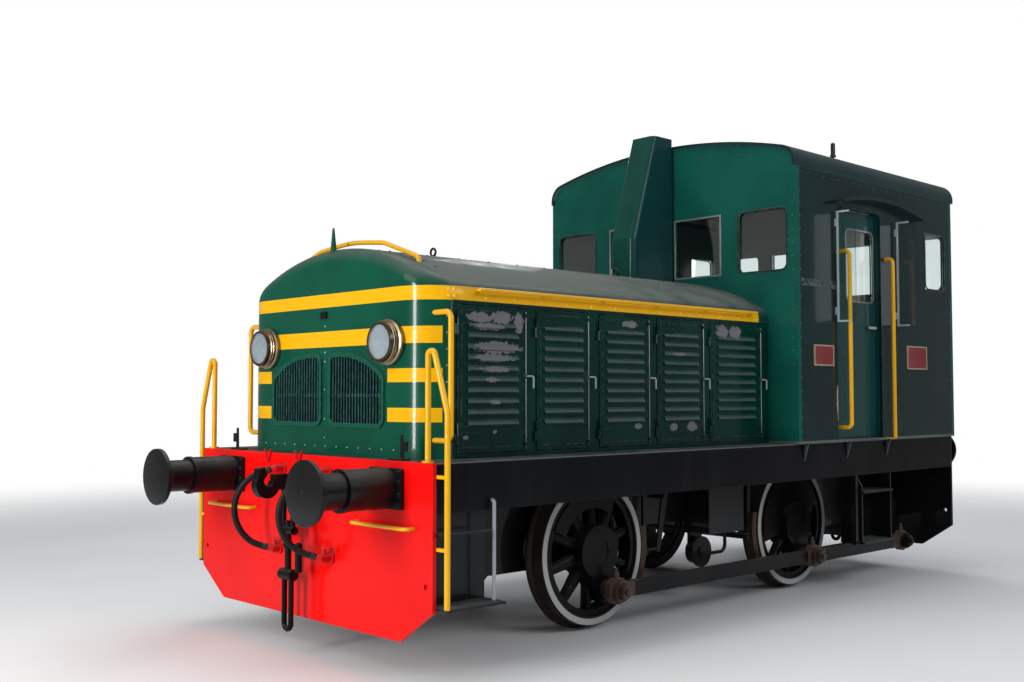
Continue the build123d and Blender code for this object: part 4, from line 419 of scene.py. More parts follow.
def spread(model, name, places):
    """Copy a small piece to each place, turned to look the given way, and join the copies."""
    copies = []
    for spot, facing in places:
        copy = model.copy()
        copy.data = model.data.copy()
        turn = Vector(facing).to_track_quat("Z", "Y").to_matrix().to_4x4()
        copy.matrix_world = Matrix.Translation(spot) @ turn
        bpy.context.scene.collection.objects.link(copy)
        copies.append(copy)
    bpy.data.objects.remove(model)
    bpy.ops.object.select_all(action="DESELECT")
    for copy in copies:
        copy.select_set(True)
    bpy.context.view_layer.objects.active = copies[0]
    bpy.ops.object.join()
    bpy.ops.object.transform_apply(location=True, rotation=True, scale=True)
    piece = bpy.context.object
    piece.name = piece.data.name = name
    return piece


GREEN = (0.0010, 0.068, 0.037, 1)
GREEN_DEEP = (0.0008, 0.053, 0.030, 1)
YELLOW = (0.76, 0.38, 0.002, 1)
# Heights of the four bands, and how far out from the middle each begins
BANDS = ((2.181, 2.268, -0.1), (1.923, 2.026, -0.1), (1.691, 1.775, 0.655), (1.453, 1.539, 0.655))
BANDS_END_X = 2.808
NOSE_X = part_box("bonnet_nose")[1][0]
band_zones = [
    (in_box, ((BANDS_END_X, inner, low), (NOSE_X + 1, 2.0, high)), YELLOW) for low, high, inner in BANDS[1:]
]
TOP_BAND_END_X = -0.372
top_band = (in_box, ((TOP_BAND_END_X, -0.1, BANDS[0][0]), (NOSE_X + 1, 2.0, BANDS[0][1])), YELLOW)
nose_green = coat("banded_green_gloss", GREEN, GREEN_DEEP, 0.24, gloss=0.28, shine=0.1, dusty=0.85,
                  streaks=0.05, rubbed=0.15, dust_colour=(0.085, 0.105, 0.09, 1),
                  zones=[top_band, *band_zones])
dress(nose_green, "bonnet_nose")

# Nose rivets: small bright heads along the nose's foot, up the middle between the grilles and on the
# seam behind the corner.
RIVET_R = 0.006
FOOT_RIVETS = (15, 0.12, 1.285)  # how many, how far apart and how high
MIDDLE_RIVETS_Y = -0.012
MIDDLE_RIVETS_Z = (1.34, 1.46, 1.65, 1.83, 1.89, 2.06)
SEAM_RIVETS_X = 2.785
SEAM_RIVETS = (9, 0.098, 1.30)  # how many, how far apart and the lowest one's height
pale_metal = coat("pale_metal", (0.34, 0.36, 0.35, 1), (0.22, 0.24, 0.23, 1), 0.35, rubbed=0.0, metal=0.5,
                  shine=0.5)
spots = []
count, step, height = FOOT_RIVETS
for n in range(count):
    spots.append(seat("bonnet_nose", (4.0, (n - (count - 1) / 2) * step, height), (-1, 0, 0)))
for height in MIDDLE_RIVETS_Z:
    spots.append(seat("bonnet_nose", (4.0, MIDDLE_RIVETS_Y, height), (-1, 0, 0)))
count, step, lowest = SEAM_RIVETS
for side in (-1, 1):
    for n in range(count):
        height = lowest + step * n
        spots.append(seat("bonnet_nose", (SEAM_RIVETS_X, side * 2.0, height), (0, -side, 0)))
hand_over(spread(round_head("head", RIVET_R), "nose_rivets", spots), pale_metal)

# Nose lock: a small slotted catch of black steel under the top band, which holds the grille panel shut
# from outside.
LOCK_Y = -0.022
LOCK_Z = 2.131
LOCK_SIZE = (0.014, 0.070, 0.046)
LOCK_PROUD = 0.006
lock = box_of("nose_lock", LOCK_SIZE)
pick(lock, lambda face: face.normal.x > 0.5)
bpy.ops.mesh.inset(thickness=0.009)
pull(-0.007, 0, 0)
soften(lock, 0.002)
nose_face = seat("bonnet_nose", (4.0, LOCK_Y, LOCK_Z), (-1, 0, 0))[0].x
move(lock, (nose_face + LOCK_PROUD, LOCK_Y, LOCK_Z))

# Bonnet roof: one long rolled sheet, painted as the nose and grey with dust along its crown, with the
# yellow strip riveted along both edges down to the cab.
STRIP_ROWS = ((2.243, 0.206, 2.341), (2.199, 0.237, 2.508))  # height, pitch and first rivet ahead
STRIP_END_X = -0.36
STRIP_RIVET_R = 0.0115
SEAM_CLUSTER = ((2.745, 2.245), (2.775, 2.245), (2.745, 2.205), (2.775, 2.205))
CROWN_ROW_X = (2.70, 0.42)
CROWN_ROW = (15, 0.115)  # bolts across the crown and their pitch
CROWN_LINE = (11, 0.27, 2.45, 0.42)  # bolts along it, their pitch, the first one and how far out
CROWN_BOLT_R = 0.00825
bonnet_top = coat("dusty_bonnet_top", (0.006, 0.040, 0.030, 1), (0.010, 0.050, 0.040, 1), 0.3, gloss=0.25,
                  dusty=0.95, rubbed=0.3, dust_colour=(0.115, 0.125, 0.11, 1), zones=[top_band])
dress(bonnet_top, "bonnet_roof")
yellow = coat("yellow_gloss", YELLOW, (0.73, 0.35, 0.003, 1), 0.25, gloss=0.4, dusty=0.25, streaks=0.05,
              rubbed=0.3, flakes=0.02, bare=(0.03, 0.025, 0.02, 1))
rivet_yellow = coat("rivet_yellow", (0.86, 0.52, 0.05, 1), (0.80, 0.44, 0.02, 1), 0.3, gloss=0.4, dusty=0.2,
                    rubbed=0.9, bare=(0.10, 0.07, 0.03, 1))
spots = []
for side in (-1, 1):
    for height, pitch, first in STRIP_ROWS:
        for n in range(int((first - STRIP_END_X) / pitch) + 1):
            spots.append(seat("bonnet_roof", (first - n * pitch, side * 2.0, height), (0, -side, 0)))
    for x, height in SEAM_CLUSTER:
        piece = "bonnet_nose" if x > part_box("bonnet_nose")[0][0] + 0.004 else "bonnet_roof"
        spots.append(seat(piece, (x, side * 2.0, height), (0, -side, 0)))
hand_over(spread(round_head("head", STRIP_RIVET_R), "strip_rivets", spots), rivet_yellow)

black = coat("black_gloss", (0.0035, 0.0038, 0.0045, 1), (0.006, 0.006, 0.0068, 1), 0.32, gloss=0.2,
             dusty=0.6, streaks=0.06, rubbed=0.35, flakes=0.03, bare=(0.06, 0.055, 0.05, 1),
             dust_colour=(0.11, 0.108, 0.10, 1))
spots = []
count, pitch = CROWN_ROW
for x in CROWN_ROW_X:
    for n in range(count):
        across = (n - (count - 1) / 2) * pitch
        spots.append(seat("bonnet_roof", (x, across, 4.0), (0, 0, -1)))
count, pitch, first, out = CROWN_LINE
for n in range(count):
    for across in (-out, out):
        spots.append(seat("bonnet_roof", (first - pitch * n, across, 4.0), (0, 0, -1)))
hand_over(spread(bolt_head("head", CROWN_BOLT_R), "crown_bolts", spots), black)
hand_over(lock, black)

# Bonnet doors and the posts between them: pressed sheet with louvres, in green painted darker than the
# nose as painted shade for the shadow along the bonnet side. The paint has come off in patches down to
# grey filler, most of it over the louvres of the first door.
# Painted shade: both door greens are darker than the nose's green to stand for the shadow on the bonnet side.
DOOR_SHADED_GREEN = (0.0010, 0.029, 0.020, 1)
DOOR_SHADED_GREEN_DEEP = (0.0012, 0.021, 0.016, 1)
FILLER_GREY = (0.15, 0.14, 0.15, 1)
WORN_METAL = (0.30, 0.33, 0.32, 1)
DOOR_FACE = 1.056
# Where the paint is off: middle of the patch, and its half sizes along, across and up
PEELED = (
    ((2.56, 1.06, 2.085), (0.15, 0.1, 0.045)), ((2.38, 1.06, 2.090), (0.13, 0.1, 0.055)),
    ((2.232, 1.06, 2.060), (0.055, 0.1, 0.095)), ((2.49, 1.06, 2.030), (0.19, 0.1, 0.028)),
    ((2.41, 1.07, 1.905), (0.28, 0.1, 0.055)), ((2.45, 1.07, 1.840), (0.23, 0.1, 0.036)),
    ((2.44, 1.07, 1.770), (0.17, 0.1, 0.030)), ((2.47, 1.07, 1.705), (0.09, 0.1, 0.022)),
    ((2.44, 1.07, 1.570), (0.07, 0.1, 0.022)), ((2.433, 1.06, 1.391), (0.025, 0.1, 0.018)),
    ((2.668, 1.06, 1.361), (0.03, 0.1, 0.018)), ((1.17, 1.06, 2.100), (0.12, 0.1, 0.034)),
    ((1.09, 1.06, 1.400), (0.055, 0.1, 0.028)), ((0.70, 1.06, 1.386), (0.065, 0.1, 0.040)),
    ((0.49, 1.06, 1.388), (0.085, 0.1, 0.050)), ((0.64, 1.07, 1.908), (0.12, 0.1, 0.016)),
    ((0.115, 1.06, 2.090), (0.105, 0.1, 0.070)), ((-0.05, 1.06, 2.090), (0.110, 0.1, 0.070)),
)
LEVER_OUT = 0.0154  # how far the levers' arms stand out, past the louvres
LEVER_Z = (1.64, 1.745)
LIP_OUT = (0.0058, 0.0151)  # the louvres' outer part, painted pale as a painted highlight on their lit faces
LIP_Z = (1.40, 2.07)
# Painted highlight: the paler green on the louvres' outer part stands for light on their slanted faces.
LIP_HIGHLIGHT = (0.040, 0.072, 0.062, 1)
lever_zone = (in_box, ((-2.0, DOOR_FACE + LEVER_OUT, LEVER_Z[0]), (3.0, 1.2, LEVER_Z[1])), WORN_METAL)
lip_low = (-2.0, DOOR_FACE + LIP_OUT[0], LIP_Z[0])
lip_high = (3.0, DOOR_FACE + LIP_OUT[1], LIP_Z[1])
lip_highlight_zone = (in_box, (lip_low, lip_high), LIP_HIGHLIGHT)
shaded_door_green = coat("shaded_dark_green_doors", DOOR_SHADED_GREEN, DOOR_SHADED_GREEN_DEEP, 0.22, gloss=0.2, shine=0.1, dusty=0.9,
                  streaks=0.0, rubbed=0.6, flakes=0.30, bare=FILLER_GREY, dust_colour=(0.10, 0.125, 0.115, 1),
                  zones=[lip_highlight_zone, lever_zone], peeled=PEELED, wave=0.0009, flake_scale=34.0)
for n in range(1, 6):
    dress(shaded_door_green, f"bonnet_door_left_{n}", f"bonnet_door_right_{n}")
dress(shaded_door_green, "bonnet_side_frames")

# Locking rods of the bonnet doors: a slim bright rod up the rear edge of each door, through the boss of
# its lever, held by a small guide at each end.
SIDES = (("left", 1), ("right", -1))
ROD_R = 0.0045
ROD_Z = (1.292, 2.132)
ROD_IN = 0.060  # in from the door's rear edge
ROD_OUT = 0.0055
GUIDE_SIZE = (0.026, 0.016, 0.022)
GUIDE_OUT = 0.007
GUIDE_Z = (ROD_Z[0] + 0.02, ROD_Z[1] - 0.02)
for side_name, side in SIDES:
    for n in range(1, 6):
        rod_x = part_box(f"bonnet_door_{side_name}_{n}")[0][0] + ROD_IN
        rod_y = side * (DOOR_FACE + ROD_OUT)
        tall = ROD_Z[1] - ROD_Z[0]
        rod = start(f"door_rod_{side_name}_{n}", "cylinder", vertices=10, radius=ROD_R, depth=tall)
        pick(rod, lambda face: abs(face.normal.z) > 0.5)
        bpy.ops.mesh.inset(thickness=ROD_R * 0.35, depth=0.002)
        bpy.ops.object.mode_set(mode="OBJECT")
        bpy.ops.object.shade_smooth_by_angle(angle=math.radians(50))
        move(rod, (rod_x, rod_y, sum(ROD_Z) / 2))
        hand_over(rod, pale_metal, f"bonnet_leaf_{side_name}_{n}")
        guide = box_of("guide", GUIDE_SIZE)
        pick(guide, lambda face: face.normal.z > 0.5)
        bpy.ops.mesh.inset(thickness=0.003)
        pull(0, 0, -0.004)
        soften(guide, 0.0015, 1)
        guides = spread(guide, f"door_rod_guides_{side_name}_{n}", [
            ((rod_x, side * (DOOR_FACE + GUIDE_OUT), height), (0, 0, 1)) for height in GUIDE_Z
        ])
        hand_over(guides, shaded_door_green, f"bonnet_leaf_{side_name}_{n}")

# Radiator grilles: upright steel bars in a pressed frame, one each side of the nose's middle, green in
# front and dark between.
GRILLE_RIM_X = 2.9566
rim_zone = (in_box, ((GRILLE_RIM_X, -0.1, 1.0), (3.1, 1.0, 3.0)), GREEN)
grille_green = coat("grille_green", (0.012, 0.052, 0.045, 1), (0.009, 0.040, 0.036, 1), 0.3, gloss=0.2,
                    dusty=0.5, streaks=0.0, rubbed=0.8, bare=(0.10, 0.21, 0.19, 1), zones=[rim_zone])
dress(grille_green, "radiator_grilles")

# Headlamps: spun brass cases gone brown, with a silvered dish and a fluted lens. The bulb sits in the
# middle of the dish.
LAMP_Y = 0.682
LAMP_Z = 1.933
DISH_R = 0.1036
FLANGE_R = (0.1265, 0.145)
SILVER = (0.42, 0.44, 0.46, 1)
FLANGE_BRASS = (0.26, 0.19, 0.11, 1)
lamp_line = ((0.0, LAMP_Y, LAMP_Z), (0.0, 1.0, 1.0))
dish = (in_ring, (*lamp_line, -1.0, DISH_R), SILVER)
flange = (in_ring, (*lamp_line, *FLANGE_R), FLANGE_BRASS)
brass = coat("aged_brass", (0.085, 0.055, 0.030, 1), (0.045, 0.030, 0.018, 1), 0.28, gloss=0.2, dusty=0.2,
             rubbed=0.9, bare=(0.42, 0.31, 0.18, 1), metal=0.75, shine=0.5, zones=[dish, flange])
dress(brass, "headlamps")
lens = bpy.data.materials.new("fluted_lens")
lens.use_nodes = True
tree = lens.node_tree
pane = tree.nodes["Principled BSDF"]
pane.inputs["Base Color"].default_value = (0.62, 0.70, 0.76, 1)
pane.inputs["Transmission Weight"].default_value = 0.75
pane.inputs["Roughness"].default_value = 0.06
pane.inputs["IOR"].default_value = 1.45
place = put(tree, "TexCoord")
flutes = put(tree, "TexWave", Vector=place.outputs["Object"], Scale=28.0, bands_direction="Y")
ribs = put(tree, "Bump", Height=flutes.outputs["Fac"], Distance=0.002, Strength=0.5)
tree.links.new(ribs.outputs[0], pane.inputs["Normal"])
dress(lens, "headlamp_lenses")

# Cab: riveted sheet steel, gloss green at the ends and darker on the sides, pale grey-green inside. The
# exhaust duct up its front is folded sheet, and the roof is one rolled sheet.
INSIDE_PAINT = (0.24, 0.29, 0.25, 1)
INSIDE_X = (-3.046, -0.532)
INSIDE_Y = 1.2855
RECESS_X = (-1.80, -1.045)
RECESS_Y = 1.2295
end_inside = (in_box, ((INSIDE_X[0], -0.1, 1.2), (INSIDE_X[1], INSIDE_Y, 4.0)), INSIDE_PAINT)
side_inside = [
    (in_box, ((INSIDE_X[0], -0.1, 1.2), (RECESS_X[0], INSIDE_Y, 4.0)), INSIDE_PAINT),
    (in_box, ((RECESS_X[0], -0.1, 1.2), (RECESS_X[1], RECESS_Y, 4.0)), INSIDE_PAINT),
    (in_box, ((RECESS_X[1], -0.1, 1.2), (INSIDE_X[1], INSIDE_Y, 4.0)), INSIDE_PAINT),
]
cab_green = coat("cab_end_green", (0.0055, 0.086, 0.062, 1), (0.0046, 0.068, 0.051, 1), 0.2, gloss=0.14,
                 shine=0.07, dusty=0.8, streaks=0.04, rubbed=0.25, dust_colour=(0.085, 0.105, 0.09, 1),
                 zones=[end_inside])
dress(cab_green, "cab_front_wall", "cab_rear_wall")
# Painted shade: the duct's left side, which looks along +Y, is painted darker than its front for the shade on
# it.
DUCT_SIDE_PAINTED_SHADE = (0.005, 0.038, 0.038, 1)
duct_green = coat("duct_green", (0.0016, 0.054, 0.038, 1), (0.0012, 0.042, 0.031, 1), 0.28, gloss=0.1,
                  dusty=0.3, streaks=0.03, rubbed=0.0, zones=[(looking, ("Y", 0.5, 0.9), DUCT_SIDE_PAINTED_SHADE)])
dress(duct_green, "exhaust_duct")
SIDE_GREEN = (0.0018, 0.018, 0.020, 1)
SIDE_GREEN_DEEP = (0.0014, 0.013, 0.016, 1)
LEAF_GREEN = (0.007, 0.046, 0.044, 1)
# Painted highlight: a pale green line down the front corner of each cab side, where the gloss catches the
# light.
CORNER_HIGHLIGHT = (0.07, 0.17, 0.145, 1)
leaf_zone = (in_box, ((RECESS_X[0], 1.245, 1.2), (RECESS_X[1], 1.30, 3.2)), LEAF_GREEN)
handle_zone = (in_box, ((-1.76, 1.27, 2.16), (-1.60, 1.31, 2.20)), WORN_METAL)
corner_highlight = (in_box, ((-0.500, 1.317, 1.25), (-0.48, 1.34, 3.41)), CORNER_HIGHLIGHT)
bare_strip = (((-1.062, 1.318, 1.555), (0.026, 0.06, 0.20)),)
side_green = coat("cab_side_green", SIDE_GREEN, SIDE_GREEN_DEEP, 0.17, gloss=0.28, dusty=0.9, streaks=0.05,
                  rubbed=0.45, flakes=0.02, bare=(0.30, 0.31, 0.28, 1), dust_colour=(0.085, 0.105, 0.095, 1),
                  peeled=bare_strip, zones=[*side_inside, leaf_zone, handle_zone, corner_highlight])
dress(side_green, "cab_side_left", "cab_side_right", "cab_door_left", "cab_door_right")
ceiling = (looking, ("Z", -0.05, -0.25), INSIDE_PAINT)
roof_paint = coat("cab_roof_green", (0.004, 0.024, 0.026, 1), (0.006, 0.030, 0.033, 1), 0.28, gloss=0.3,
                  dusty=0.6, streaks=0.0, rubbed=0.3, dust_colour=(0.055, 0.07, 0.07, 1), zones=[ceiling])
dress(roof_paint, "cab_roof")

# Cab rivets: rows of small steel heads up the corners, along the eaves and round the edge of each end
# under the roof. They hold the sheets to the frame inside and are painted with them.
CAB_HALF_W = 1.325
CAB_ENDS_X = (-3.085, -0.493)
CORNER_ROW = (1.33, 3.30, 0.105)  # lowest, highest and pitch
CORNER_IN = (0.045, 0.04)  # from the corner, on the sides and on the ends
EAVES_ROW = (23, 0.1124, 0.06, 3.36)  # how many, pitch, the first one's place and height
ARCH_ROW = (9, 0.128, 0.075)  # how many each way from the middle, pitch and below the edge
ARCH_BEND = 9.65  # the ends' top edge falls by the distance out squared over this
CAB_RIVET_R = 0.0058
cab_rivet_paint = coat("cab_rivet_paint", (0.012, 0.085, 0.066, 1), (0.02, 0.10, 0.08, 1), 0.3, gloss=0.3,
                       rubbed=0.9, bare=(0.30, 0.36, 0.34, 1))
low, high, pitch = CORNER_ROW
heights = [low + pitch * n for n in range(int((high - low) / pitch) + 1)]
spots = []
for side_name, side in SIDES:
    for height in heights:
        for x in (CAB_ENDS_X[0] + CORNER_IN[0], CAB_ENDS_X[1] - CORNER_IN[0]):
            spots.append(seat(f"cab_side_{side_name}", (x, side * 2.0, height), (0, -side, 0)))
count, pitch, first, eaves_z = EAVES_ROW
for n in range(count):
    x = CAB_ENDS_X[0] + first + n * pitch
    for side_name, side in SIDES:
        spots.append(seat(f"cab_side_{side_name}", (x, side * 2.0, eaves_z), (0, -side, 0)))
reach, pitch, below = ARCH_ROW
for x, aim, wall in ((0.5, -1, "cab_front_wall"), (-4.0, 1, "cab_rear_wall")):
    for side in (-1, 1):
        for height in heights[5:]:
            spots.append(seat(wall, (x, side * (CAB_HALF_W - CORNER_IN[1]), height), (aim, 0, 0)))
    for n in range(-reach, reach + 1):
        across = n * pitch
        under_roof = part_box(wall)[1][2] - below - across * across / ARCH_BEND
        spots.append(seat(wall, (x, across, under_roof), (aim, 0, 0)))
hand_over(spread(round_head("head", CAB_RIVET_R), "cab_rivets", spots), cab_rivet_paint)

# Strap: a flat steel bar bolted across the cab side ahead of each doorway, with its paint coming off in
# small flakes.
STRAP = (-1.055, -0.545, 2.465, 2.525)  # along and up
STRAP_T = 0.006
STRAP_BOLT_R = 0.010
STRAP_BOLT_IN = 0.03
strap_paint = coat("strap_paint", (0.0022, 0.021, 0.020, 1), (0.0018, 0.015, 0.016, 1), 0.35, gloss=0.2,
                   dusty=0.5, rubbed=1.0, flakes=1.0, bare=(0.085, 0.10, 0.10, 1), flake_scale=30.0)
for side_name, side in SIDES:
    x0, x1, z0, z1 = STRAP
    middle = (z0 + z1) / 2
    strap = box_of(f"side_strap_{side_name}", (x1 - x0, STRAP_T, z1 - z0))
    pick(strap, lambda face: face.normal.y * side > 0.5)
    bpy.ops.mesh.inset(thickness=0.008)
    pull(0, -side * 0.0015, 0)
    soften(strap, 0.0008, 1)
    move(strap, ((x0 + x1) / 2, side * (CAB_HALF_W + STRAP_T / 2 - 0.0005), middle))
    hand_over(strap, strap_paint)
    bolt_y = side * (CAB_HALF_W + STRAP_T - 0.001)
    bolts = [((x, bolt_y, middle), (0, side, 0)) for x in (x0 + STRAP_BOLT_IN, x1 - STRAP_BOLT_IN)]
    heads = spread(bolt_head("head", STRAP_BOLT_R), f"side_strap_bolts_{side_name}", bolts)
    hand_over(heads, strap_paint)


# Window frames: thin rims round the panes, round-cornered in the outer end windows and the doors, and
# square in the inner ones, bright where the paint has gone.
def rim(name, centre, size, facing, corner, width, depth):
    """A flat rim round an opening: its middle, size, the way it looks, corner radius and section."""
    piece = start(name, "plane", size=1.0)
    piece.scale = (size[0] + width, size[1] + width, 1)
    bpy.ops.object.transform_apply(scale=True)
    bpy.ops.object.mode_set(mode="EDIT")
    bpy.ops.mesh.select_all(action="SELECT")
    if corner:
        bpy.ops.mesh.bevel(offset=corner + width / 2, segments=6, affect="VERTICES")
    bpy.ops.mesh.select_all(action="SELECT")
    bpy.ops.mesh.inset(thickness=width)
    bpy.ops.mesh.delete(type="FACE")
    bpy.ops.mesh.select_all(action="SELECT")
    pull(0, 0, depth)
    bpy.ops.mesh.select_all(action="SELECT")
    bpy.ops.mesh.normals_make_consistent(inside=False)
    soften(piece, depth * 0.3, 1)
    outward = Vector(facing)
    sideways = Vector((0, 0, 1)).cross(outward)
    turn = Matrix((sideways, Vector((0, 0, 1)), outward)).transposed().to_4x4()
    piece.matrix_world = Matrix.Translation(centre) @ turn
    bpy.ops.object.transform_apply(location=True, rotation=True, scale=True)
    return piece


WINDOW_Z = (2.594, 3.086)
INNER_WINDOW = (0.130, 0.603)
OUTER_WINDOW = (0.775, 1.235)
SIDE_WINDOW = (-2.944, -2.570, 2.564, 3.070)
DOOR_WINDOW = (-1.753, -1.316, 2.392, 2.995)
ROUND_CORNER = 0.055
RIM = (0.016, 0.006)  # width and thickness
DOOR_RIM = (0.014, 0.005)
DOOR_PANEL_Y = 1.264
SUNK = 0.001  # how far a rim sits in the sheet
middle_z = sum(WINDOW_Z) / 2
tall = WINDOW_Z[1] - WINDOW_Z[0]
bright_rim = coat("bright_rim", (0.36, 0.40, 0.40, 1), (0.22, 0.27, 0.27, 1), 0.3, rubbed=0.2, metal=0.7,
                  shine=0.5)
dark_rim = coat("dark_rim", (0.004, 0.030, 0.024, 1), (0.003, 0.022, 0.018, 1), 0.3, gloss=0.3, rubbed=1.0,
                bare=(0.30, 0.34, 0.33, 1))
for end_name, x, facing in (("front", CAB_ENDS_X[1], 1), ("rear", CAB_ENDS_X[0], -1)):
    for side_name, side in SIDES:
        for kind, (near, far), corner, paint in (
            ("inner", INNER_WINDOW, 0.0, bright_rim), ("outer", OUTER_WINDOW, ROUND_CORNER, dark_rim),
        ):
            name = f"{end_name}_{kind}_rim_{side_name}"
            centre = (x - facing * SUNK, side * (near + far) / 2, middle_z)
            piece = rim(name, centre, (far - near, tall), (facing, 0, 0), corner, *RIM)
            hand_over(piece, paint)
for side_name, side in SIDES:
    x0, x1, z0, z1 = SIDE_WINDOW
    centre = ((x0 + x1) / 2, side * (CAB_HALF_W - SUNK), (z0 + z1) / 2)
    piece = rim(f"side_rim_{side_name}", centre, (x1 - x0, z1 - z0), (0, side, 0), ROUND_CORNER, *RIM)
    hand_over(piece, dark_rim)
    x0, x1, z0, z1 = DOOR_WINDOW
    centre = ((x0 + x1) / 2, side * DOOR_PANEL_Y, (z0 + z1) / 2)
    piece = rim(f"door_rim_{side_name}", centre, (x1 - x0, z1 - z0), (0, side, 0), ROUND_CORNER, *DOOR_RIM)
    hand_over(piece, bright_rim, f"cab_door_{side_name}_leaf")

# Cab glass: flat clear sheets with a faint green tint, in the cab's windows and doors and in the wind
# deflectors beside the doorways, each held by its frame.
clear = bpy.data.materials.new("window_glass")
clear.use_nodes = True
pane = clear.node_tree.nodes["Principled BSDF"]
pane.inputs["Base Color"].default_value = (0.84, 0.90, 0.89, 1)
pane.inputs["Transmission Weight"].default_value = 1.0
pane.inputs["Roughness"].default_value = 0.02
pane.inputs["IOR"].default_value = 1.45
dress(clear, "cab_glass", "cab_door_glass_left", "cab_door_glass_right")

# Canopy over each doorway and the frames of the wind deflectors: painted strip, and bright metal round
# the glass.
BRIGHT_METAL = (0.40, 0.44, 0.45, 1)
deflector_metal = (in_box, ((-2.2, CAB_HALF_W + 0.001, 2.0), (-0.9, 1.7, 3.125)), BRIGHT_METAL)
canopy_paint = coat("canopy_and_deflector_paint", SIDE_GREEN, SIDE_GREEN_DEEP, 0.25, gloss=0.3, dusty=0.5,
                    rubbed=0.5, bare=(0.25, 0.28, 0.27, 1), zones=[deflector_metal])
dress(canopy_paint, "canopies_and_deflectors")

# Owner's plates: two blank cast plates on each cab side, dark red with a raised cream edge, each held
# by four screws.
# Name, then from where to where along and up
PLATES = (("fore", -0.997, -0.709, 1.845, 2.011), ("aft", -2.561, -2.203, 1.839, 2.043))
PLATE_T = 0.012
PLATE_OUT = 0.005
PLATE_EDGE = 0.011
PLATE_FIELD_DEEP = 0.005
SCREW_R = 0.005
SCREW_IN = 0.024
plate_red = coat("plate_red", (0.21, 0.032, 0.036, 1), (0.17, 0.024, 0.028, 1), 0.4, gloss=0.15, rubbed=0.2,
                 bare=(0.35, 0.20, 0.16, 1))
plate_cream = coat("plate_edge_cream", (0.42, 0.30, 0.20, 1), (0.34, 0.24, 0.16, 1), 0.5, rubbed=0.3)
for side_name, side in SIDES:
    for kind, x0, x1, z0, z1 in PLATES:
        plate = box_of(f"{kind}_plate_{side_name}", (x1 - x0, PLATE_T, z1 - z0))
        pick(plate, lambda face: face.normal.y * side > 0.5)
        bpy.ops.mesh.inset(thickness=PLATE_EDGE)
        pull(0, -side * PLATE_FIELD_DEEP, 0)
        bpy.ops.object.mode_set(mode="OBJECT")
        field = [face.index for face in plate.data.polygons if face.select]
        move(plate, ((x0 + x1) / 2, side * (CAB_HALF_W + PLATE_OUT), (z0 + z1) / 2))
        hand_over(plate, plate_cream)
        plate.data.materials.append(plate_red)
        for index in field:
            plate.data.polygons[index].material_index = 1
        soften(plate, 0.0012)
        screws = [
            ((x, side * (CAB_HALF_W + PLATE_OUT + 0.001), z), (0, side, 0))
            for x in (x0 + SCREW_IN, x1 - SCREW_IN) for z in (z0 + SCREW_IN, z1 - SCREW_IN)
        ]
        piece = spread(round_head("head", SCREW_R), f"{kind}_plate_screws_{side_name}", screws)
        hand_over(piece, plate_cream)

# Handrails, corner posts and bonnet rails: bent steel tube in yellow, chipped black where hands and
# boots go.
dress(yellow, "bonnet_rails", "cab_handrails", "headstock_rails")

# Front headstock and what is fixed to its face: signal red plate with red air cocks, hose holders and
# forks. The same fittings at the rear are black, and so are the lamp irons on the deck.
RED = (0.78, 0.0035, 0.0025, 1)
HEADSTOCK_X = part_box("front_headstock")[1][0]
red = coat("signal_red", RED, (0.70, 0.003, 0.0022, 1), 0.3, gloss=0.15, shine=0.08, dusty=0.2, streaks=0.06,
           rubbed=0.3, flakes=0.05, bare=(0.50, 0.10, 0.08, 1), flake_scale=60.0)
dress(red, "front_headstock")
FITTING_RED = (0.55, 0.004, 0.004, 1)
red_fittings = (in_box, ((HEADSTOCK_X - 0.001, -0.1, 0.0), (HEADSTOCK_X + 2.0, 2.0, 3.0)), FITTING_RED)
fitting_paint = coat("fitting_paint", (0.004, 0.004, 0.005, 1), (0.007, 0.007, 0.008, 1), 0.32, gloss=0.2,
                     dusty=0.5, rubbed=0.6, bare=(0.10, 0.05, 0.045, 1), zones=[red_fittings])
dress(fitting_paint, "headstock_fittings")

# Buffers: cast cases and steel rams in black, with eight bolts through each foot.
dress(black, "buffer_cases", "buffer_rams")
BUFFER_Y = 0.875
BUFFER_Z = 1.078
BUFFER_FOOT_T = 0.025
BUFFER_BOLT_R = 0.0165
BOLT_COLUMN_Y = (-0.133, 0.133)
BOLT_ROW_Z = (-0.093, -0.035, 0.035, 0.093)
spots = []
for end in (-1, 1):
    for side in (-1, 1):
        for across in BOLT_COLUMN_Y:
            for up in BOLT_ROW_Z:
                x = end * (HEADSTOCK_X + BUFFER_FOOT_T)
                spots.append(((x, side * BUFFER_Y + across, BUFFER_Z + up), (end, 0, 0)))
hand_over(spread(bolt_head("head", BUFFER_BOLT_R), "buffer_bolts", spots), black)

# Main frame, deck, steps, springs and boxes: black, oily and dusty, with a grey worn line along the edge
# of the deck.
WORN_EDGE = (0.11, 0.115, 0.115, 1)
GUSSET_GREY = (0.055, 0.07, 0.078, 1)
POLE_GREY = (0.30, 0.31, 0.34, 1)
deck_line = (in_box, ((-3.2, 1.2835, 1.2285), (3.2, 1.30, 1.24)), WORN_EDGE)
gussets = (in_box, ((-2.0, 1.2858, 1.05), (-0.5, 1.33, 1.2295)), GUSSET_GREY)
deck_paint = coat("deck_black", (0.0024, 0.0028, 0.0042, 1), (0.0042, 0.0046, 0.006, 1), 0.28, gloss=0.1,
                  shine=0.07, dusty=0.7, streaks=0.08, rubbed=0.5, flakes=0.03, bare=(0.09, 0.09, 0.088, 1),
                  dust_colour=(0.13, 0.13, 0.125, 1), zones=[deck_line, gussets])
dress(deck_paint, "deck_and_sills")
dress(black, "main_frame", "axleboxes", "leaf_springs", "rear_headstock", "tool_boxes_and_reservoir",
      "engine_and_radiator", "final_drive")
pole = (in_box, ((2.655, 1.30, 0.44), (2.70, 1.40, 1.10)), POLE_GREY)
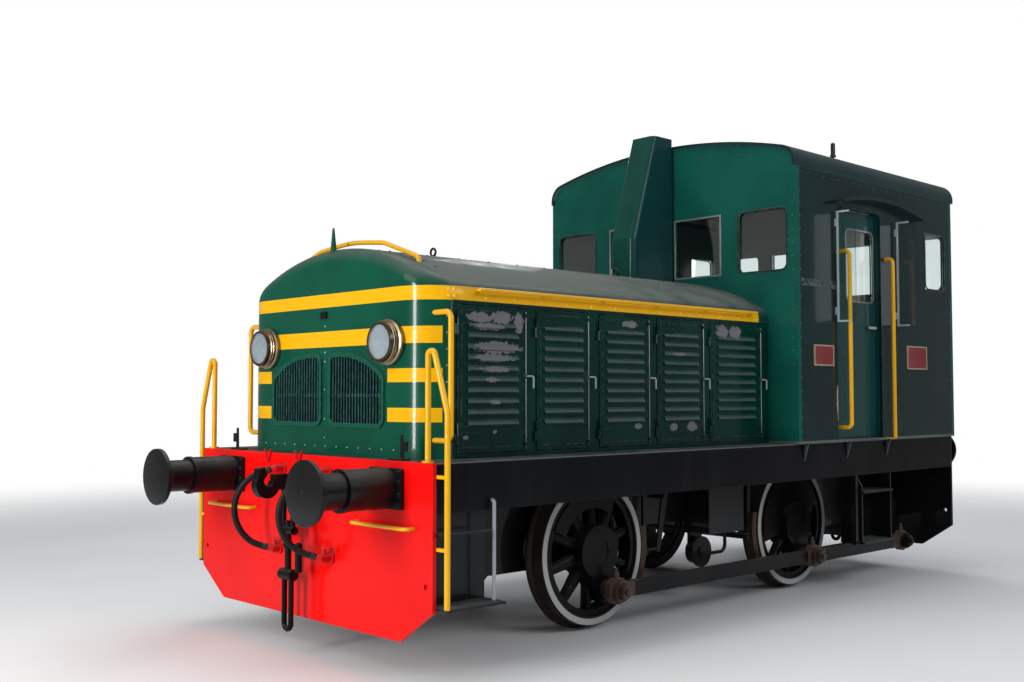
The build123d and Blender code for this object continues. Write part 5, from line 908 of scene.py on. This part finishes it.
step_paint = coat("step_black", (0.004, 0.0045, 0.0055, 1), (0.007, 0.0075, 0.0085, 1), 0.3, gloss=0.2,
                  dusty=0.75, streaks=0.05, rubbed=0.7, bare=(0.10, 0.10, 0.098, 1),
                  dust_colour=(0.12, 0.12, 0.115, 1), zones=[pole])
dress(step_paint, "steps")
room_paint = coat("room_paint", (0.10, 0.12, 0.11, 1), (0.07, 0.085, 0.08, 1), 0.5, dusty=0.4, rubbed=0.5)
dress(room_paint, "cab_floor", "desk_and_seat")

# Roof and bonnet fittings: a turned whistle on the cab roof, forged lifting eyes on the bonnet, all black,
# and the thin pointed fin on the nose, painted green with it.
fin = (in_box, ((2.80, -0.1, 2.3), (3.0, 0.06, 3.0)), GREEN)
fin_paint = coat("fitting_black_and_fin_green", (0.004, 0.004, 0.005, 1), (0.007, 0.007, 0.008, 1), 0.3,
                 gloss=0.3, dusty=0.2, rubbed=0.5, zones=[fin])
dress(fin_paint, "roof_and_bonnet_fittings")


# Wheels: cast centres in oily black, and steel tyres brown with rust on the tread, with a ring of grey
# paint round the outer face. The grey has chipped along its edges.
def painted_ring(tree, axle_x, axle_z, inner, outer, face_y):
    """A mask on the outer face of both wheels of an axle, between two radii."""
    ring = in_ring(tree, (axle_x, 0.0, axle_z), (1.0, 0.0, 1.0), inner, outer)
    return times(tree, ring, in_box(tree, (-9.0, face_y, -1.0), (9.0, 1.0, 3.0)))


iron = coat("oily_iron", (0.003, 0.003, 0.0036, 1), (0.0065, 0.006, 0.0062, 1), 0.33, gloss=0.06, shine=0.08,
            dusty=0.35, streaks=0.05, rubbed=0.55, flakes=0.04, bare=(0.045, 0.032, 0.026, 1),
            dust_colour=(0.10, 0.095, 0.085, 1))
dress(iron, "front_axle_and_centres", "rear_axle_and_centres", "jackshaft", "draw_gear")
AXLE_Z = 0.538
RING_R = (0.459, 0.5085)
TYRE_FACE = 0.8162
RING_GREY = (0.50, 0.51, 0.49, 1)
for end_name in ("front", "rear"):
    low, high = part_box(f"{end_name}_tyres")
    axle_x = (low[0] + high[0]) / 2
    ring = (painted_ring, (axle_x, AXLE_Z, *RING_R, TYRE_FACE), RING_GREY)
    tyre_paint = coat(f"{end_name}_tyre_steel", (0.022, 0.014, 0.010, 1), (0.012, 0.009, 0.007, 1), 0.45,
                      dusty=0.3, streaks=0.0, rubbed=0.3, flakes=0.12, bare=(0.030, 0.020, 0.015, 1),
                      zones=[ring], flake_scale=34.0)
    dress(tyre_paint, f"{end_name}_tyres")

# Side rods and crank pins: forged steel, black along the rod and rusty brown with old grease round the
# bearings.
RUSTY = (0.075, 0.042, 0.030, 1)
AXLE_SPACING = 2.462
BEARING_L = 0.26
for side_name in ("left", "right"):
    low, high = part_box(f"side_rods_{side_name}")
    bearings = [high[0] - BEARING_L, high[0] - AXLE_SPACING - BEARING_L, low[0]]
    zones = [(in_box, ((x, 0.0, 0.0), (x + BEARING_L + 0.01, 2.0, 2.0)), RUSTY) for x in bearings]
    rod_steel = coat(f"rod_steel_{side_name}", (0.006, 0.0063, 0.0075, 1), (0.010, 0.0095, 0.0095, 1), 0.3,
                     gloss=0.08, shine=0.1, dusty=0.35, streaks=0.0, rubbed=0.8, flakes=0.1,
                     bare=(0.10, 0.075, 0.06, 1), zones=zones)
    dress(rod_steel, f"side_rods_{side_name}")
pin_steel = coat("pin_steel", (0.060, 0.036, 0.026, 1), (0.035, 0.022, 0.017, 1), 0.38, dusty=0.3,
                 streaks=0.0, rubbed=0.9, flakes=0.2, bare=(0.16, 0.11, 0.085, 1), metal=0.3, shine=0.5)
dress(pin_steel, "front_crank_pins", "rear_crank_pins")

# Brake gear: cast shoes, brown with brake dust, hung on forged hangers against the treads and joined by
# beams across the frame, all in black.
SHOE_ZONE = (0.50, 0.573)  # from the axle's middle
SHOE_BROWN = (0.050, 0.024, 0.016, 1)
zones = []
for end_name in ("front", "rear"):
    low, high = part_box(f"{end_name}_tyres")
    centre = ((low[0] + high[0]) / 2, 0.0, AXLE_Z)
    zones.append((in_ring, (centre, (1.0, 0.0, 1.0), *SHOE_ZONE), SHOE_BROWN))
brake_paint = coat("brake_gear_paint", (0.005, 0.005, 0.0055, 1), (0.010, 0.009, 0.0085, 1), 0.36, gloss=0.1,
                   dusty=0.5, rubbed=0.6, flakes=0.05, zones=zones)
dress(brake_paint, "brake_gear")

# Brake hoses: two black rubber hoses, 40 mm thick, each hung from a holder on the red plate and
# coupled to its air cock below, with a clamp at each end.
HOSE_DIAMETER = 0.040
CLAMP_T = 0.0025
CLAMP_L = 0.026
CLAMP_FROM_END = 0.022
# Name and route: ahead of the plate, across and height, in metres
HOSES = (
    ("brake_hose_right", (
        (0.078, -0.255, 1.136), (0.144, -0.303, 1.117), (0.210, -0.350, 1.062), (0.255, -0.383, 0.980),
        (0.270, -0.398, 0.884), (0.253, -0.392, 0.788), (0.207, -0.372, 0.706), (0.143, -0.338, 0.651),
        (0.078, -0.294, 0.632),
    )),
    ("brake_hose_left", (
        (0.078, 0.259, 1.136), (0.144, 0.213, 1.117), (0.213, 0.176, 1.062), (0.262, 0.153, 0.980),
        (0.281, 0.147, 0.884), (0.268, 0.160, 0.788), (0.226, 0.190, 0.706), (0.160, 0.238, 0.651),
        (0.095, 0.292, 0.629),
    )),
)
rubber = coat("hose_rubber", (0.008, 0.008, 0.009, 1), (0.013, 0.0125, 0.0125, 1), 0.5, dusty=0.35,
              streaks=0.0, rubbed=0.0, wave=0.0004, dust_colour=(0.07, 0.07, 0.068, 1))
clamp_steel = coat("clamp_steel", (0.020, 0.020, 0.021, 1), (0.035, 0.034, 0.034, 1), 0.35, rubbed=0.6,
                   bare=(0.20, 0.19, 0.18, 1), metal=0.4, shine=0.5)
for name, route in HOSES:
    points = [Vector((HEADSTOCK_X + before, across, height)) for before, across, height in route]
    curve = bpy.data.curves.new(name + "_line", "CURVE")
    curve.dimensions = "3D"
    line = curve.splines.new("NURBS")
    line.points.add(len(points) - 1)
    for point, spot in zip(line.points, points):
        point.co = (*spot, 1.0)
    line.order_u = 3
    line.use_endpoint_u = True
    line.resolution_u = 10
    curve.bevel_depth = HOSE_DIAMETER / 2
    curve.bevel_resolution = 5
    curve.use_fill_caps = True
    curve.materials.append(rubber)
    hose = bpy.data.objects.new(name + "_rubber", curve)
    bpy.context.scene.collection.objects.link(hose)
    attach(hose, "chassis")
    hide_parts(name)
    clamp = start("clamp", "cylinder", vertices=24, radius=HOSE_DIAMETER / 2 + CLAMP_T, depth=CLAMP_L)
    pick(clamp, lambda face: abs(face.normal.z) > 0.5)
    bpy.ops.mesh.inset(thickness=0.003)
    bpy.ops.mesh.extrude_region_shrink_fatten(TRANSFORM_OT_shrink_fatten={"value": 0.005})
    soften(clamp, 0.0008, 1)
    grips = []
    for end, inward in ((0, 1), (-1, -2)):
        along = (points[inward] - points[end]).normalized()
        grips.append((points[end] + along * CLAMP_FROM_END, along))
    clamps = spread(clamp, name + "_clamps", grips)
    hand_over(clamps, clamp_steel)

bpy.context.scene.view_settings.view_transform = "Standard"
